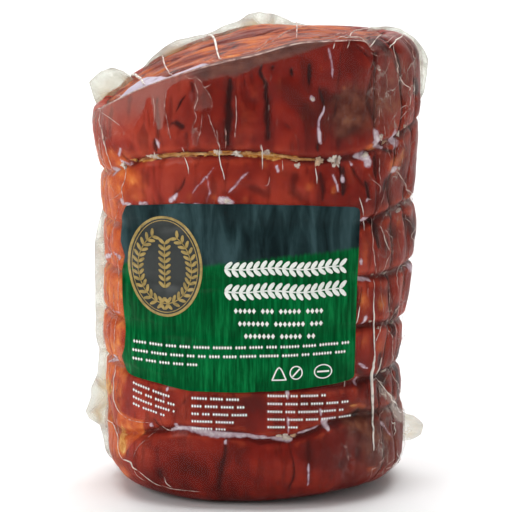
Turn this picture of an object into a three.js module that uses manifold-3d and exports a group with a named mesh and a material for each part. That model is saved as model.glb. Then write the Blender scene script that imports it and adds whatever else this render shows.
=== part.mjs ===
// Half a porchetta, rolled, tied and roasted, then sealed in a clear vacuum bag. It stands on one end.
// Millimetres, +Z up. The front of the bag faces -Y. The origin is on the foot, under the middle of the pack.
// The film clings to the meat, so bag and meat are one solid. The bag's loose edges stand out of it as fins.

import * as THREE from "three";
import { mergeVertices } from "three/addons/utils/BufferGeometryUtils.js";
import Module from "manifold-3d";

// Driving dimensions of the roll
const HEIGHT = 234.5; // top of the arched upper end, on the roll's axis plane
const FRONT_DEPTH = 70; // axis to the front
const BACK_DEPTH = 68; // axis to the back
const MEAN_RADIUS = (FRONT_DEPTH + BACK_DEPTH) / 2;
const SECTION_POWER = 2.35; // 2 is an ellipse, more is squarer
const FOOT_RADIUS = { left: 26, middle: 23, right: 17 }; // rounding between the sides and the foot
const FOOT_RISE = 0.85; // its height for its width
const RIM_RADIUS = { left: 3, right: 12 }; // rounding of the upper end's rim

// Half-widths of the front outline at heights above the foot
const OUTLINE = [
  { z: 0, left: 75.5, right: 73 },
  { z: 28, left: 77, right: 75.5 },
  { z: 58, left: 76.5, right: 74 },
  { z: 78, left: 77, right: 74.5 },
  { z: 112, left: 77.5, right: 79 },
  { z: 142, left: 78.5, right: 80 },
  { z: 182, left: 83, right: 82 },
  { z: 204, left: 81, right: 83 },
  { z: 240, left: 79, right: 79 },
];

// The upper end is an arch: level on the right, and falling away to the left of ARCH_START
const ARCH_START = 41;
const ARCH_DROP = 0.00073;
const ARCH_POWER = 2.25;
const ARCH_LIFT = { left: 2, right: -5 }; // how much higher the back rim is than the front rim
const END_RIM = 0.955; // share of the way out at which the rind ends
const END_RECESS = 3.2; // flesh below the rind's rim
const END_CROWN = 5.5; // and its swell in the middle
const END_CRAG = 1.1; // torn fibres that run across the end

// String loops round the roll: height, tilt up to the right and down to the left, and sag at the front
const LOOPS = [
  { z: 43, tilt: 0, sag: 8 },
  { z: 65, tilt: 0, sag: 2 },
  { z: 90.5, tilt: 0, sag: 0 },
  { z: 117, tilt: 1, sag: 1 },
  { z: 144.5, tilt: 5, sag: 0 },
  { z: 177.5, tilt: 15, sag: 0 },
];
const LOOP_DEPTH = 3;
const LOOP_HALF = 3.4;

// Cuts scored down the rind. The front ones are given by x, the others follow evenly round the back
const FRONT_SCORES = [-69, -52, -37, -20.5, -4, 8, 24.5, 38, 50, 61, 71];
const BACK_SCORES = 14;
const SCORE_DEPTH = 1.9;
const SCORE_HALF = 2.8;
const PILLOW = 1.9; // swell of the rind between loops and cuts

// The end of the rolled rind, where the rim is notched
const SEAM = { x: 61, half: 7, notch: 5, depth: 3, reach: 34 };

// Broad hollows where the roll has sunk, as x on the front, height, radius and depth
const HOLLOWS = [
  { x: 50, z: 200, radius: 20, depth: 4.5 },
  { x: 70, z: 158, radius: 13, depth: 3 },
  { x: 62, z: 46, radius: 15, depth: 3 },
];

// Loose film of the bag's seam. Tips are x and z on its outer edge, and y is the plane that it stands in
const FILM = 1.4; // two sheets of film and the gel between them
const FIN_ROOT = 12; // how far a fin reaches into the roll
const FINS = [
  {
    y: () => 10,
    root: ([x, z]) => [x + FIN_ROOT, z],
    ruffle: 1.6,
    tips: [
      [-80.5, 140], [-83.3, 131], [-84.4, 122], [-84.4, 98], [-84.4, 76], [-82.8, 66],
      [-83.8, 53], [-87, 46], [-87.6, 39.5], [-90, 33], [-88.4, 28.5], [-82.5, 25.5],
      [-81.2, 18], [-79.6, 12], [-76, 6.5],
    ],
  },
  {
    y: () => 22,
    root: ([x, z]) => [x * 0.74, z - FIN_ROOT * 1.5],
    ruffle: 2.4,
    tips: [
      [-79.5, 188], [-84.5, 198], [-87.4, 206], [-81, 212], [-75, 213.8], [-68.5, 212], [-63, 206.5],
    ],
  },
  {
    y: (x) => backOf(x, HEIGHT - 20) - 9,
    root: ([x, z]) => [x * 0.96, z - FIN_ROOT * 1.3],
    ruffle: 1.8,
    tips: [
      [-60, 211.5], [-55, 217], [-48.5, 222], [-41.5, 225.7], [-34, 226.6], [-26.5, 228],
      [-18, 232], [-9.5, 235], [-4.5, 238.2], [2, 239.4], [8, 238.8], [14, 237], [20, 234.5],
      [28, 232.5], [36, 231],
    ],
  },
  {
    y: () => 26,
    root: ([x, z]) => [x * 0.8, z - FIN_ROOT * 0.9],
    ruffle: 2,
    tips: [
      [60, 234.5], [68, 235], [75.5, 233.5], [82.3, 229.5], [87, 224.5],
      [90.2, 218], [89.6, 208.5], [88, 200.5], [84, 193],
    ],
  },
  {
    y: () => 10,
    root: ([x, z]) => [x - FIN_ROOT * 1.3, z * 0.9 + 2.2],
    ruffle: 1.8,
    tips: [
      [74, 35], [79.6, 32], [84.4, 29.6], [88.6, 26], [87.5, 19.6], [81.7, 17.4], [75.5, 15.5],
    ],
  },
  {
    y: () => 12,
    root: ([x, z]) => [x - FIN_ROOT, z],
    ruffle: 0.6,
    tips: [[73.4, 13], [76, 9.8], [76.2, 6.2], [72.5, 3.4]],
  },
];
const FIN_SHARES = [0, 0.32, 0.66, 1]; // rows of points from a fin's root to its tips

// How finely the solid is cut
const BAND_ROWS = 3; // rows between two loops, besides those of the loops
const FOOT_ROWS = 4;
const RIM_ROWS = 2;
const END_SHARES = [END_RIM, 0.9, 0.76, 0.58, 0.38, 0.19]; // rings of the upper end, from the rim inwards

const lerp = THREE.MathUtils.lerp;
const smoothstep = THREE.MathUtils.smoothstep;
const random = seeded(7);

// A small repeatable generator of numbers from 0 to 1
function seeded(seed) {
  let state = seed;
  return () => {
    state = (state * 16807) % 2147483647;
    return state / 2147483647;
  };
}

// A half-width of the outline at height z, on a smooth curve through its stations
function halfWidth(side, z) {
  const last = OUTLINE.length - 1;
  const i = THREE.MathUtils.clamp(OUTLINE.findIndex((s) => s.z > z) - 1, 0, last - 1);
  const at = (k) => OUTLINE[THREE.MathUtils.clamp(k, 0, last)];
  const slope = (k) => (at(k + 1)[side] - at(k - 1)[side]) / (at(k + 1).z - at(k - 1).z);
  const span = at(i + 1).z - at(i).z;
  const t = THREE.MathUtils.clamp((z - at(i).z) / span, 0, 1);
  const ease = t * t * (3 - 2 * t);
  const start = at(i)[side] + slope(i) * span * t;
  const end = at(i + 1)[side] - slope(i + 1) * span * (1 - t);
  return lerp(start, end, ease);
}

// The smooth section at height z and angle phi. Phi is 0 at +X, and 270 degrees at the front
function section(phi, z) {
  const left = halfWidth("left", z);
  const right = halfWidth("right", z);
  const c = Math.cos(phi);
  const s = Math.sin(phi);
  const round = (value) => Math.sign(value) * Math.abs(value) ** (2 / SECTION_POWER);
  return {
    x: (right - left) / 2 + ((left + right) / 2) * round(c),
    y: (s < 0 ? FRONT_DEPTH : BACK_DEPTH) * round(s),
  };
}

// The angle of the front surface at x and z
function frontAngle(x, z) {
  const left = halfWidth("left", z);
  const right = halfWidth("right", z);
  const share = THREE.MathUtils.clamp((2 * x + left - right) / (left + right), -1, 1);
  return 2 * Math.PI - Math.acos(Math.sign(share) * Math.abs(share) ** (SECTION_POWER / 2));
}

// The back surface's y at x and z
function backOf(x, z) {
  const mirrored = 2 * Math.PI - frontAngle(x, z);
  return section(mirrored, z).y;
}

// Height of the upper end's rim surface
function endHeight(x, y) {
  const fall = ARCH_DROP * Math.max(0, ARCH_START - x) ** ARCH_POWER;
  const lift = lerp(ARCH_LIFT.left, ARCH_LIFT.right, smoothstep(x, -5, 25));
  return HEIGHT - fall + (lift * y) / (FRONT_DEPTH + BACK_DEPTH);
}

// Angles of all scored cuts, in order round the roll
function scoreAngles() {
  const angles = FRONT_SCORES.map((x) => frontAngle(x, LOOPS.at(-1).z));
  const start = angles.at(-1);
  const step = (angles[0] + 2 * Math.PI - start) / (BACK_SCORES + 1);
  for (let i = 1; i <= BACK_SCORES; i++) angles.push(start + step * (i + 0.3 * (random() - 0.5)));
  return angles;
}

const SCORES = scoreAngles();
const SCORE_SHARES = SCORES.map(() => lerp(0.55, 1.25, random()));

// Columns of points round the roll: each cut has its bottom and two lips, and each pillow has its crown
function columnAngles() {
  const lip = SCORE_HALF / MEAN_RADIUS;
  const columns = [];
  SCORES.forEach((angle, i) => {
    const next = i + 1 < SCORES.length ? SCORES[i + 1] : SCORES[0] + 2 * Math.PI;
    columns.push(angle, angle + lip, (angle + next) / 2, next - lip);
  });
  return columns;
}

// Slow unevenness of the roll, so that no two pillows are alike
function lump(phi, z) {
  return (
    0.5 * Math.sin(3 * phi + z / 27 + 0.6) +
    0.5 * Math.sin(5 * phi - z / 19 + 2.1) +
    0.4 * Math.sin(8 * phi + z / 11 + 4.4) * Math.cos(z / 17)
  );
}

function loopHeight(k, phi) {
  const { z, tilt, sag } = LOOPS[k];
  const side = Math.cos(phi);
  const front = Math.max(0, -Math.sin(phi));
  const sway = 0.9 * Math.sin(3 * phi + k * 1.9) + 0.7 * Math.sin(5 * phi + k * 2.7);
  return z + tilt * Math.sign(side) * side ** 4 - sag * front ** 14 + sway;
}

// A rounded notch, 1 at its bottom and 0 past its half-width
function notch(distance, half) {
  const t = Math.min(1, Math.abs(distance) / half);
  return (1 - t) ** 1.4;
}

// A soft bell, 1 in its middle
function bell(distance, half) {
  return Math.exp(-((distance / half) ** 2));
}

// Distance along the surface from the front point at x and z to angle phi
function alongFrom(x, z, phi) {
  return (phi - frontAngle(x, z)) * MEAN_RADIUS;
}

// How far the surface stands off the smooth section
function relief(phi, z) {
  const turn = 2 * Math.PI;
  const apart = SCORES.map((a) => (((phi - a + 1.5 * turn) % turn) - turn / 2) * MEAN_RADIUS);
  const nearest = apart.reduce((best, d, i) => (Math.abs(d) < Math.abs(apart[best]) ? i : best), 0);
  const loopGap = Math.min(...LOOPS.map((_, k) => Math.abs(z - loopHeight(k, phi))));
  const crown = Math.min(1, Math.abs(apart[nearest]) / 8) * Math.min(1, loopGap / 13);
  const cut = SCORE_DEPTH * SCORE_SHARES[nearest] * notch(apart[nearest], SCORE_HALF);
  const tie = LOOP_DEPTH * notch(loopGap, LOOP_HALF);
  const hollow = HOLLOWS.reduce((sum, h) => {
    return sum + h.depth * bell(alongFrom(h.x, h.z, phi), h.radius) * bell(z - h.z, h.radius);
  }, 0);
  const fold = SEAM.depth * bell(alongFrom(SEAM.x, HEIGHT, phi), SEAM.half) * bell(z - HEIGHT, SEAM.reach);
  const swell = PILLOW * crown ** 0.6 + lump(phi, z);
  return swell - Math.max(cut, tie) - 0.3 * Math.min(cut, tie) - hollow - fold;
}

// A point of the side at angle phi and height z, taken in by inset towards the roll's axis
function sidePoint(phi, z, inset) {
  const p = section(phi, z);
  const r = Math.hypot(p.x, p.y);
  const share = (r + relief(phi, z) - inset) / r;
  return new THREE.Vector3(p.x * share, p.y * share, z);
}

function footRadius(phi) {
  const side = Math.cos(phi);
  return lerp(FOOT_RADIUS.middle, side < 0 ? FOOT_RADIUS.left : FOOT_RADIUS.right, side ** 2);
}

// One column of the side, from the flat foot to the rim
function column(phi) {
  const points = [];
  const addBand = (from, to) => {
    for (let i = 1; i <= BAND_ROWS; i++) points.push(sidePoint(phi, lerp(from, to, i / BAND_ROWS), 0));
  };
  const foot = footRadius(phi);
  for (let i = 0; i <= FOOT_ROWS; i++) {
    const turn = (i / FOOT_ROWS) * (Math.PI / 2);
    points.push(sidePoint(phi, foot * FOOT_RISE * (1 - Math.cos(turn)), foot * (1 - Math.sin(turn))));
  }
  let previous = foot * FOOT_RISE;
  LOOPS.forEach((_, k) => {
    const z = loopHeight(k, phi);
    addBand(previous, z - LOOP_HALF);
    points.push(sidePoint(phi, z, 0), sidePoint(phi, z + LOOP_HALF, 0));
    previous = z + LOOP_HALF;
  });
  const rim = section(phi, HEIGHT);
  const seam = SEAM.notch * bell(alongFrom(SEAM.x, HEIGHT, phi), SEAM.half);
  const radius = lerp(RIM_RADIUS.left, RIM_RADIUS.right, smoothstep(Math.cos(phi), 0.6, 0.9));
  const shoulder = endHeight(rim.x, rim.y) - seam - radius;
  addBand(previous, shoulder);
  for (let i = 1; i <= RIM_ROWS; i++) {
    const turn = (i / RIM_ROWS) * (Math.PI / 2);
    points.push(sidePoint(phi, shoulder + radius * Math.sin(turn), radius * (1 - Math.cos(turn))));
  }
  return points;
}

// A point of the upper end, at a share of the way from its middle to the rim point
function endPoint(rim, share) {
  const x = rim.x * share;
  const y = rim.y * share;
  const inside = 1 - smoothstep(share, 0.86, END_RIM);
  const crag = Math.sin(y / 6.5 + Math.sin(x / 17)) + 0.5 * Math.sin(y / 3.7 + x / 25 + 1);
  const crown = END_CROWN * (1 - share ** 2);
  const rimGap = (rim.z - endHeight(rim.x, rim.y)) * share ** 6;
  const flesh = crown - END_RECESS + END_CRAG * crag;
  return new THREE.Vector3(x, y, endHeight(x, y) + rimGap + inside * flesh);
}

// The roll in its clinging film, as one closed surface
function rollGeometry() {
  const columns = columnAngles().map((phi) => {
    const side = column(phi);
    const rim = side.at(-1);
    return side.concat(END_SHARES.map((share) => endPoint(rim, share)));
  });
  const rows = columns[0].length;
  const positions = columns.flat().flatMap((p) => p.toArray());
  const middle = columns.length * rows;
  positions.push(0, 0, endPoint(columns[0].at(-1), 0).z);
  const index = [];
  columns.forEach((_, i) => {
    const a = i * rows;
    const b = ((i + 1) % columns.length) * rows;
    for (let j = 0; j + 1 < rows; j++) index.push(a + j, b + j, b + j + 1, a + j, b + j + 1, a + j + 1);
    index.push(a + rows - 1, b + rows - 1, middle);
  });
  const foot = columns.map((side) => new THREE.Vector2(side[0].x, side[0].y));
  THREE.ShapeUtils.triangulateShape(foot, []).forEach(([a, b, c]) => {
    index.push(a * rows, c * rows, b * rows);
  });
  return new THREE.BufferGeometry()
    .setAttribute("position", new THREE.Float32BufferAttribute(positions, 3))
    .setIndex(index);
}

// One fin: a ruffled strip of film from its root inside the roll to its tips
function finGeometry(fin) {
  const edge = new THREE.SplineCurve(fin.tips.map(([x, z]) => new THREE.Vector2(x, z)));
  const steps = fin.tips.length * 2;
  const across = FIN_SHARES.length;
  const positions = [];
  for (let i = 0; i <= steps; i++) {
    const tip = edge.getPoint(i / steps);
    const [rootX, rootZ] = fin.root([tip.x, tip.y]);
    FIN_SHARES.forEach((share) => {
      const x = lerp(rootX, tip.x, share);
      const z = lerp(rootZ, tip.y, share);
      const wave = fin.ruffle * share ** 2 * Math.sin(i * 1.35 + fin.ruffle);
      const y = fin.y(x) + wave;
      positions.push(x, y - FILM / 2, z, x, y + FILM / 2, z);
    });
  }
  const index = [];
  const quad = (a, b, c, d) => index.push(a, b, c, a, c, d);
  const at = (i, j, face) => (i * across + j) * 2 + face;
  for (let i = 0; i < steps; i++) {
    for (let j = 0; j + 1 < across; j++) {
      quad(at(i, j, 0), at(i, j + 1, 0), at(i + 1, j + 1, 0), at(i + 1, j, 0));
      quad(at(i, j, 1), at(i + 1, j, 1), at(i + 1, j + 1, 1), at(i, j + 1, 1));
    }
    quad(at(i, 0, 0), at(i + 1, 0, 0), at(i + 1, 0, 1), at(i, 0, 1));
    quad(at(i, across - 1, 0), at(i, across - 1, 1), at(i + 1, across - 1, 1), at(i + 1, across - 1, 0));
  }
  for (let j = 0; j + 1 < across; j++) {
    quad(at(0, j, 0), at(0, j, 1), at(0, j + 1, 1), at(0, j + 1, 0));
    quad(at(steps, j, 0), at(steps, j + 1, 0), at(steps, j + 1, 1), at(steps, j, 1));
  }
  return new THREE.BufferGeometry()
    .setAttribute("position", new THREE.Float32BufferAttribute(positions, 3))
    .setIndex(index);
}

const wasm = await Module();
wasm.setup();

// A closed mesh as a solid that can be joined, turned right side out
function solidOf(geometry) {
  const merged = mergeVertices(geometry, 1e-3);
  const vertProperties = merged.attributes.position.array;
  const triVerts = new Uint32Array(merged.index.array);
  const made = new wasm.Manifold(new wasm.Mesh({ numProp: 3, vertProperties, triVerts }));
  if (made.volume() > 0) return made;
  return new wasm.Manifold(new wasm.Mesh({ numProp: 3, vertProperties, triVerts: triVerts.reverse() }));
}

function geometryOf(solid) {
  const { vertProperties, triVerts } = solid.getMesh();
  const geometry = new THREE.BufferGeometry()
    .setAttribute("position", new THREE.BufferAttribute(vertProperties, 3))
    .setIndex(new THREE.BufferAttribute(triVerts, 1));
  geometry.computeVertexNormals();
  return geometry;
}

const roll = solidOf(rollGeometry());
const pack = FINS.map((fin) => solidOf(finGeometry(fin))).reduce((whole, fin) => whole.add(fin), roll);
const packGeometry = geometryOf(pack);

// The middle of the pack's outline comes over the origin
packGeometry.computeBoundingBox();
const middle = packGeometry.boundingBox.getCenter(new THREE.Vector3());
packGeometry.translate(-middle.x, -middle.y, 0);

const roastInFilm = new THREE.MeshStandardMaterial({ color: 0x8c3a2c, roughness: 0.25, metalness: 0 });
const vacuumPack = new THREE.Mesh(packGeometry, roastInFilm);
vacuumPack.name = "vacuum_pack";

const porchetta = new THREE.Group();
porchetta.add(vacuumPack);

export default porchetta;
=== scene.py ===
"""Half a rolled, tied and roasted porchetta in a clear vacuum bag, standing on its cut end.

The solid of the pack is replaced by the meat, its string and set fat, the clinging film and the print on it.
Shapes are worked out in millimetres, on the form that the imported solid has, and turned to metres at the end.
"""

import math

import bpy
import numpy as np
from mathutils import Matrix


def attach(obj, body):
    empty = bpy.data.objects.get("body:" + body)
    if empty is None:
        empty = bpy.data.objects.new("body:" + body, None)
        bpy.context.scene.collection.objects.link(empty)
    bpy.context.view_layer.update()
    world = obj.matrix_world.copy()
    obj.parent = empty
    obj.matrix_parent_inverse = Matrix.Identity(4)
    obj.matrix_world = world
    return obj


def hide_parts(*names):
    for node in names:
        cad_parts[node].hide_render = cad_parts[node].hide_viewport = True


bl_info = {
    "name": "Porchetta in a vacuum bag",
    "version": (1, 0, 0),
    "blender": (4, 5, 0),
    "location": "View3D > Sidebar > Porchetta",
    "description": "Builds a rolled roast in its string, film and print round the packed solid",
    "category": "Object",
}

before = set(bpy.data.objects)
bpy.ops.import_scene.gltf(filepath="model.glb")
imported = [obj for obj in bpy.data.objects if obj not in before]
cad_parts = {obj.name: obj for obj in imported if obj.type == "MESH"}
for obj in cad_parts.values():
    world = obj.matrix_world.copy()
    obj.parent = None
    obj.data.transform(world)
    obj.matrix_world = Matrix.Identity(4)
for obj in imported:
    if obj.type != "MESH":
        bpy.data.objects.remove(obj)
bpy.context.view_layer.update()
TURN = 2 * math.pi
MM = 0.001

# The form of the roll, in millimetres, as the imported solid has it
HEIGHT = 234.5
FRONT_DEPTH = 70.0
BACK_DEPTH = 68.0
MEAN_RADIUS = (FRONT_DEPTH + BACK_DEPTH) / 2
SECTION_POWER = 2.35
FOOT_LEFT, FOOT_MIDDLE, FOOT_RIGHT = 26.0, 23.0, 17.0
FOOT_RISE = 0.85
RIM_LEFT, RIM_RIGHT = 3.0, 12.0
CENTRE = (0.198, -0.699)  # middle of the pack's outline, which comes over the origin

# Height, and half-widths to the left and right of the axis
STATIONS = np.array(
    [
        (0, 75.5, 73),
        (28, 77, 75.5),
        (58, 76.5, 74),
        (78, 77, 74.5),
        (112, 77.5, 79),
        (142, 78.5, 80),
        (182, 83, 82),
        (204, 81, 83),
        (240, 79, 79),
    ]
)
LEFT, RIGHT = 1, 2

# The arched upper end
ARCH_START = 41.0
ARCH_DROP = 0.00073
ARCH_POWER = 2.25
LEFT_DROP = 2.4
FOOT_LIFT = 3.4  # the foot's right side stands this much off the floor
LIFT_LEFT, LIFT_RIGHT = 2.0, -5.0
END_RECESS = 3.2
END_CROWN = 5.5
FAT_RISE = 1.8

# Height, tilt and front sag of each string loop
LOOPS = [(43, 0, 8), (65, -3, 2), (90.5, -2, 0), (117, 1, 1), (144.5, 5, 0), (177.5, 15, 0)]
LOOP_HALF = 3.4
# Where the front of a loop runs, as points of x and z
LOOP_FRONTS = {
    0: [(-66, 33), (-52, 38), (-44.8, 39.8), (-39.2, 41.4), (-33.6, 41.4), (-22, 40), (-7.5, 38.8), (2, 35.7),
        (17, 36.6), (27.1, 39.7), (37.1, 43.5), (50, 45.5), (66, 44)],
    5: [(-75, 167), (-66.5, 171.8), (-61.2, 174.6), (-54.5, 177.3), (-35, 180.6), (-2, 181.1), (13.8, 179.6),
        (21.6, 177.9), (36.5, 177), (52, 178), (60.2, 180.7), (72.2, 186.5), (78, 189)],
}

# Cuts in the rind
FRONT_CUTS = [-69, -52, -37, -20.5, -4, 8, 24.5, 38, 50, 61, 71]
BACK_CUTS = 14
CUT_HALF = 1.9
CUT_DEPTH = 1.7
TIE_DEPTH = 3.0
PILLOW = 1.9

SEAM_X, SEAM_HALF, SEAM_NOTCH, SEAM_DEPTH, SEAM_REACH = 61.0, 7.0, 5.0, 3.0, 34.0

# Broad hollows: x on the front, height, radius and depth
HOLLOWS = [(50, 200, 20, 4.5), (70, 158, 13, 3), (62, 46, 15, 3), (-81, 165, 15, 3.2), (-80, 204, 9, 3.4),
           (79, 133, 14, -2.2), (74, 31, 13, 2.6)]

# Loose film. Each has the y of its plane, its ruffle, and the x and z of its outer edge
FIN_ROOT = 12.0
LOOSE_EDGES = {
    "left": (10, 1.6, [(-77.5, 147), (-80.5, 140), (-83, 131), (-84.4, 122), (-84.4, 98), (-84.4, 76), (-82.8, 66),
                       (-83.8, 53), (-87, 46), (-87.6, 39.5), (-90, 33), (-88.4, 28.5), (-82.5, 25.5),
                       (-81.2, 18), (-79.6, 12), (-76, 6.5)]),
    "top_left": (22, 2.4, [(-79.5, 188), (-84.5, 198), (-87.4, 206), (-81, 212), (-75, 213.8),
                           (-68.5, 212), (-63, 206.5)]),
    "back": (None, 1.8, [(-60, 211.5), (-55, 217), (-48.5, 222), (-41.5, 225.7), (-34, 226.6),
                         (-26.5, 228), (-18, 232), (-9.5, 235), (-4.5, 238.2), (2, 239.4), (8, 238.8),
                         (14, 237), (20, 234.5), (28, 232.5), (36, 231)]),
    "top_right": (26, 2.0, [(60, 234.5), (68, 235), (75.5, 233.5), (82.3, 229.5), (87, 224.5),
                            (90.2, 218), (89.6, 208.5), (88, 200.5), (84, 193)]),
    "right_ear": (10, 1.8, [(74, 35), (79.6, 32), (84.4, 29.6), (88.6, 26), (87.5, 19.6),
                            (81.7, 17.4), (75.5, 15.5)]),
    "right_foot": (12, 0.6, [(73.4, 13), (76, 9.8), (76.2, 6.2), (72.5, 3.4)]),
}

# How finely the pieces are cut
ROAST_COLUMNS = 480
FILM_COLUMNS = 440
FILM_ROWS = 150
FRONT_CROWDING = 0.5  # columns stand this much closer at the front
LATTICE_STEP = 0.5
LATTICE_LOW, LATTICE_HIGH = -4.0, 244.0
MEAN_RELIEF = 1.2


def lerp(a, b, t):
    return a + (b - a) * t


def smooth(value, low, high):
    t = np.clip((value - low) / (high - low), 0, 1)
    return t * t * (3 - 2 * t)


def bell(distance, half):
    return np.exp(-((distance / half) ** 2))


def follow(path, at):
    """Height along a line given as points, each with its place and height."""
    path = np.array(path, float)
    return np.interp(at, path[:, 0], path[:, 1])


def draws(seed):
    """A repeatable run of numbers from 0 to 1, the same that spaces the solid's cuts."""
    state = seed
    while True:
        state = (state * 16807) % 2147483647
        yield state / 2147483647


# ---- The roll's form


def half_width(side, z):
    heights, widths = STATIONS[:, 0], STATIONS[:, side]
    last = len(heights) - 1
    i = np.clip(np.searchsorted(heights, z, side="right") - 1, 0, last - 1)

    def slope(k):
        low, high = np.clip(k - 1, 0, last), np.clip(k + 1, 0, last)
        return (widths[high] - widths[low]) / (heights[high] - heights[low])

    span = heights[i + 1] - heights[i]
    t = np.clip((z - heights[i]) / span, 0, 1)
    start = widths[i] + slope(i) * span * t
    end = widths[i + 1] - slope(i + 1) * span * (1 - t)
    return lerp(start, end, t * t * (3 - 2 * t))


def section(phi, z):
    """The smooth outline at height z. Phi is 0 at +X, and three quarters of a turn at the front."""
    left, right = half_width(LEFT, z), half_width(RIGHT, z)
    c, s = np.cos(phi), np.sin(phi)
    power = 2 / SECTION_POWER
    x = (right - left) / 2 + (left + right) / 2 * np.sign(c) * np.abs(c) ** power
    y = np.where(s < 0, FRONT_DEPTH, BACK_DEPTH) * np.sign(s) * np.abs(s) ** power
    return x, y


def front_angle(x, z):
    left, right = half_width(LEFT, z), half_width(RIGHT, z)
    share = np.clip((2 * x + left - right) / (left + right), -1, 1)
    return TURN - np.arccos(np.sign(share) * np.abs(share) ** (SECTION_POWER / 2))


def end_height(x, y):
    fall = ARCH_DROP * np.maximum(0, ARCH_START - x) ** ARCH_POWER + LEFT_DROP * smooth(-x, 55, 80)
    lift = lerp(LIFT_LEFT, LIFT_RIGHT, smooth(x, -5, 25))
    return HEIGHT - fall + lift * y / (FRONT_DEPTH + BACK_DEPTH)


def loop_height(k, phi):
    z, tilt, sag = LOOPS[k]
    side = np.cos(phi)
    front = np.maximum(0, -np.sin(phi))
    sway = 0.9 * np.sin(3 * phi + k * 1.9) + 0.7 * np.sin(5 * phi + k * 2.7)
    height = z + tilt * np.sign(side) * side**4 - sag * front**14 + sway
    if k in LOOP_FRONTS:
        x, _ = section(phi, np.full_like(phi, float(z)))
        seen = smooth(-np.sin(phi), 0.05, 0.4)
        height = lerp(height, follow(LOOP_FRONTS[k], x), seen)
    return height


def cut_angles():
    chance = draws(7)
    angles = [float(front_angle(np.array(float(x)), np.array(float(LOOPS[-1][0])))) for x in FRONT_CUTS]
    start = angles[-1]
    step = (angles[0] + TURN - start) / (BACK_CUTS + 1)
    angles += [start + step * (i + 0.3 * (next(chance) - 0.5)) for i in range(1, BACK_CUTS + 1)]
    shares = [lerp(0.55, 1.25, next(chance)) for _ in angles]
    return angles, shares


def foot_radius(phi):
    side = np.cos(phi)
    return lerp(FOOT_MIDDLE, np.where(side < 0, FOOT_LEFT, FOOT_RIGHT), side**2)


def lifted(x, z):
    """Height of a point of the wall, with the lift of the foot at the right."""
    return z + FOOT_LIFT * smooth(x, -5, 52) * (1 - smooth(z, 0, 45))


def rim_radius(phi):
    return lerp(RIM_LEFT, RIM_RIGHT, smooth(np.cos(phi), 0.6, 0.9))


def along_from(x, z, phi):
    return (phi - front_angle(np.array(float(x)), np.array(float(z)))) * MEAN_RADIUS


def rim_height(phi):
    x, y = section(phi, np.full_like(phi, HEIGHT))
    return end_height(x, y) - SEAM_NOTCH * bell(along_from(SEAM_X, HEIGHT, phi), SEAM_HALF)


# ---- Fields on the wall: one value for each angle and height


def cloud(points, size, seed, octaves=1):
    """Soft unevenness from -1 to 1, with lumps about size millimetres across."""
    table = np.random.RandomState(seed).uniform(-1, 1, 4096)
    total, share, whole = 0.0, 1.0, 0.0
    for octave in range(octaves):
        scaled = points / (size / 2**octave) + 37.3 * octave
        cell = np.floor(scaled).astype(np.int64)
        t = scaled - cell
        t = t * t * (3 - 2 * t)
        value = 0.0
        for corner in range(8):
            step = np.array([corner & 1, corner >> 1 & 1, corner >> 2 & 1])
            key = (cell + step) @ np.array([1619, 31337, 6971])
            weight = np.prod(np.where(step == 1, t, 1 - t), axis=-1)
            value = value + table[key % 4096] * weight
        total = total + share * value
        whole += share
        share *= 0.5
    return total / whole


def points_of(flat):
    """Pairs from a flat run of numbers."""
    return list(zip(flat[::2], flat[1::2]))


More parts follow.
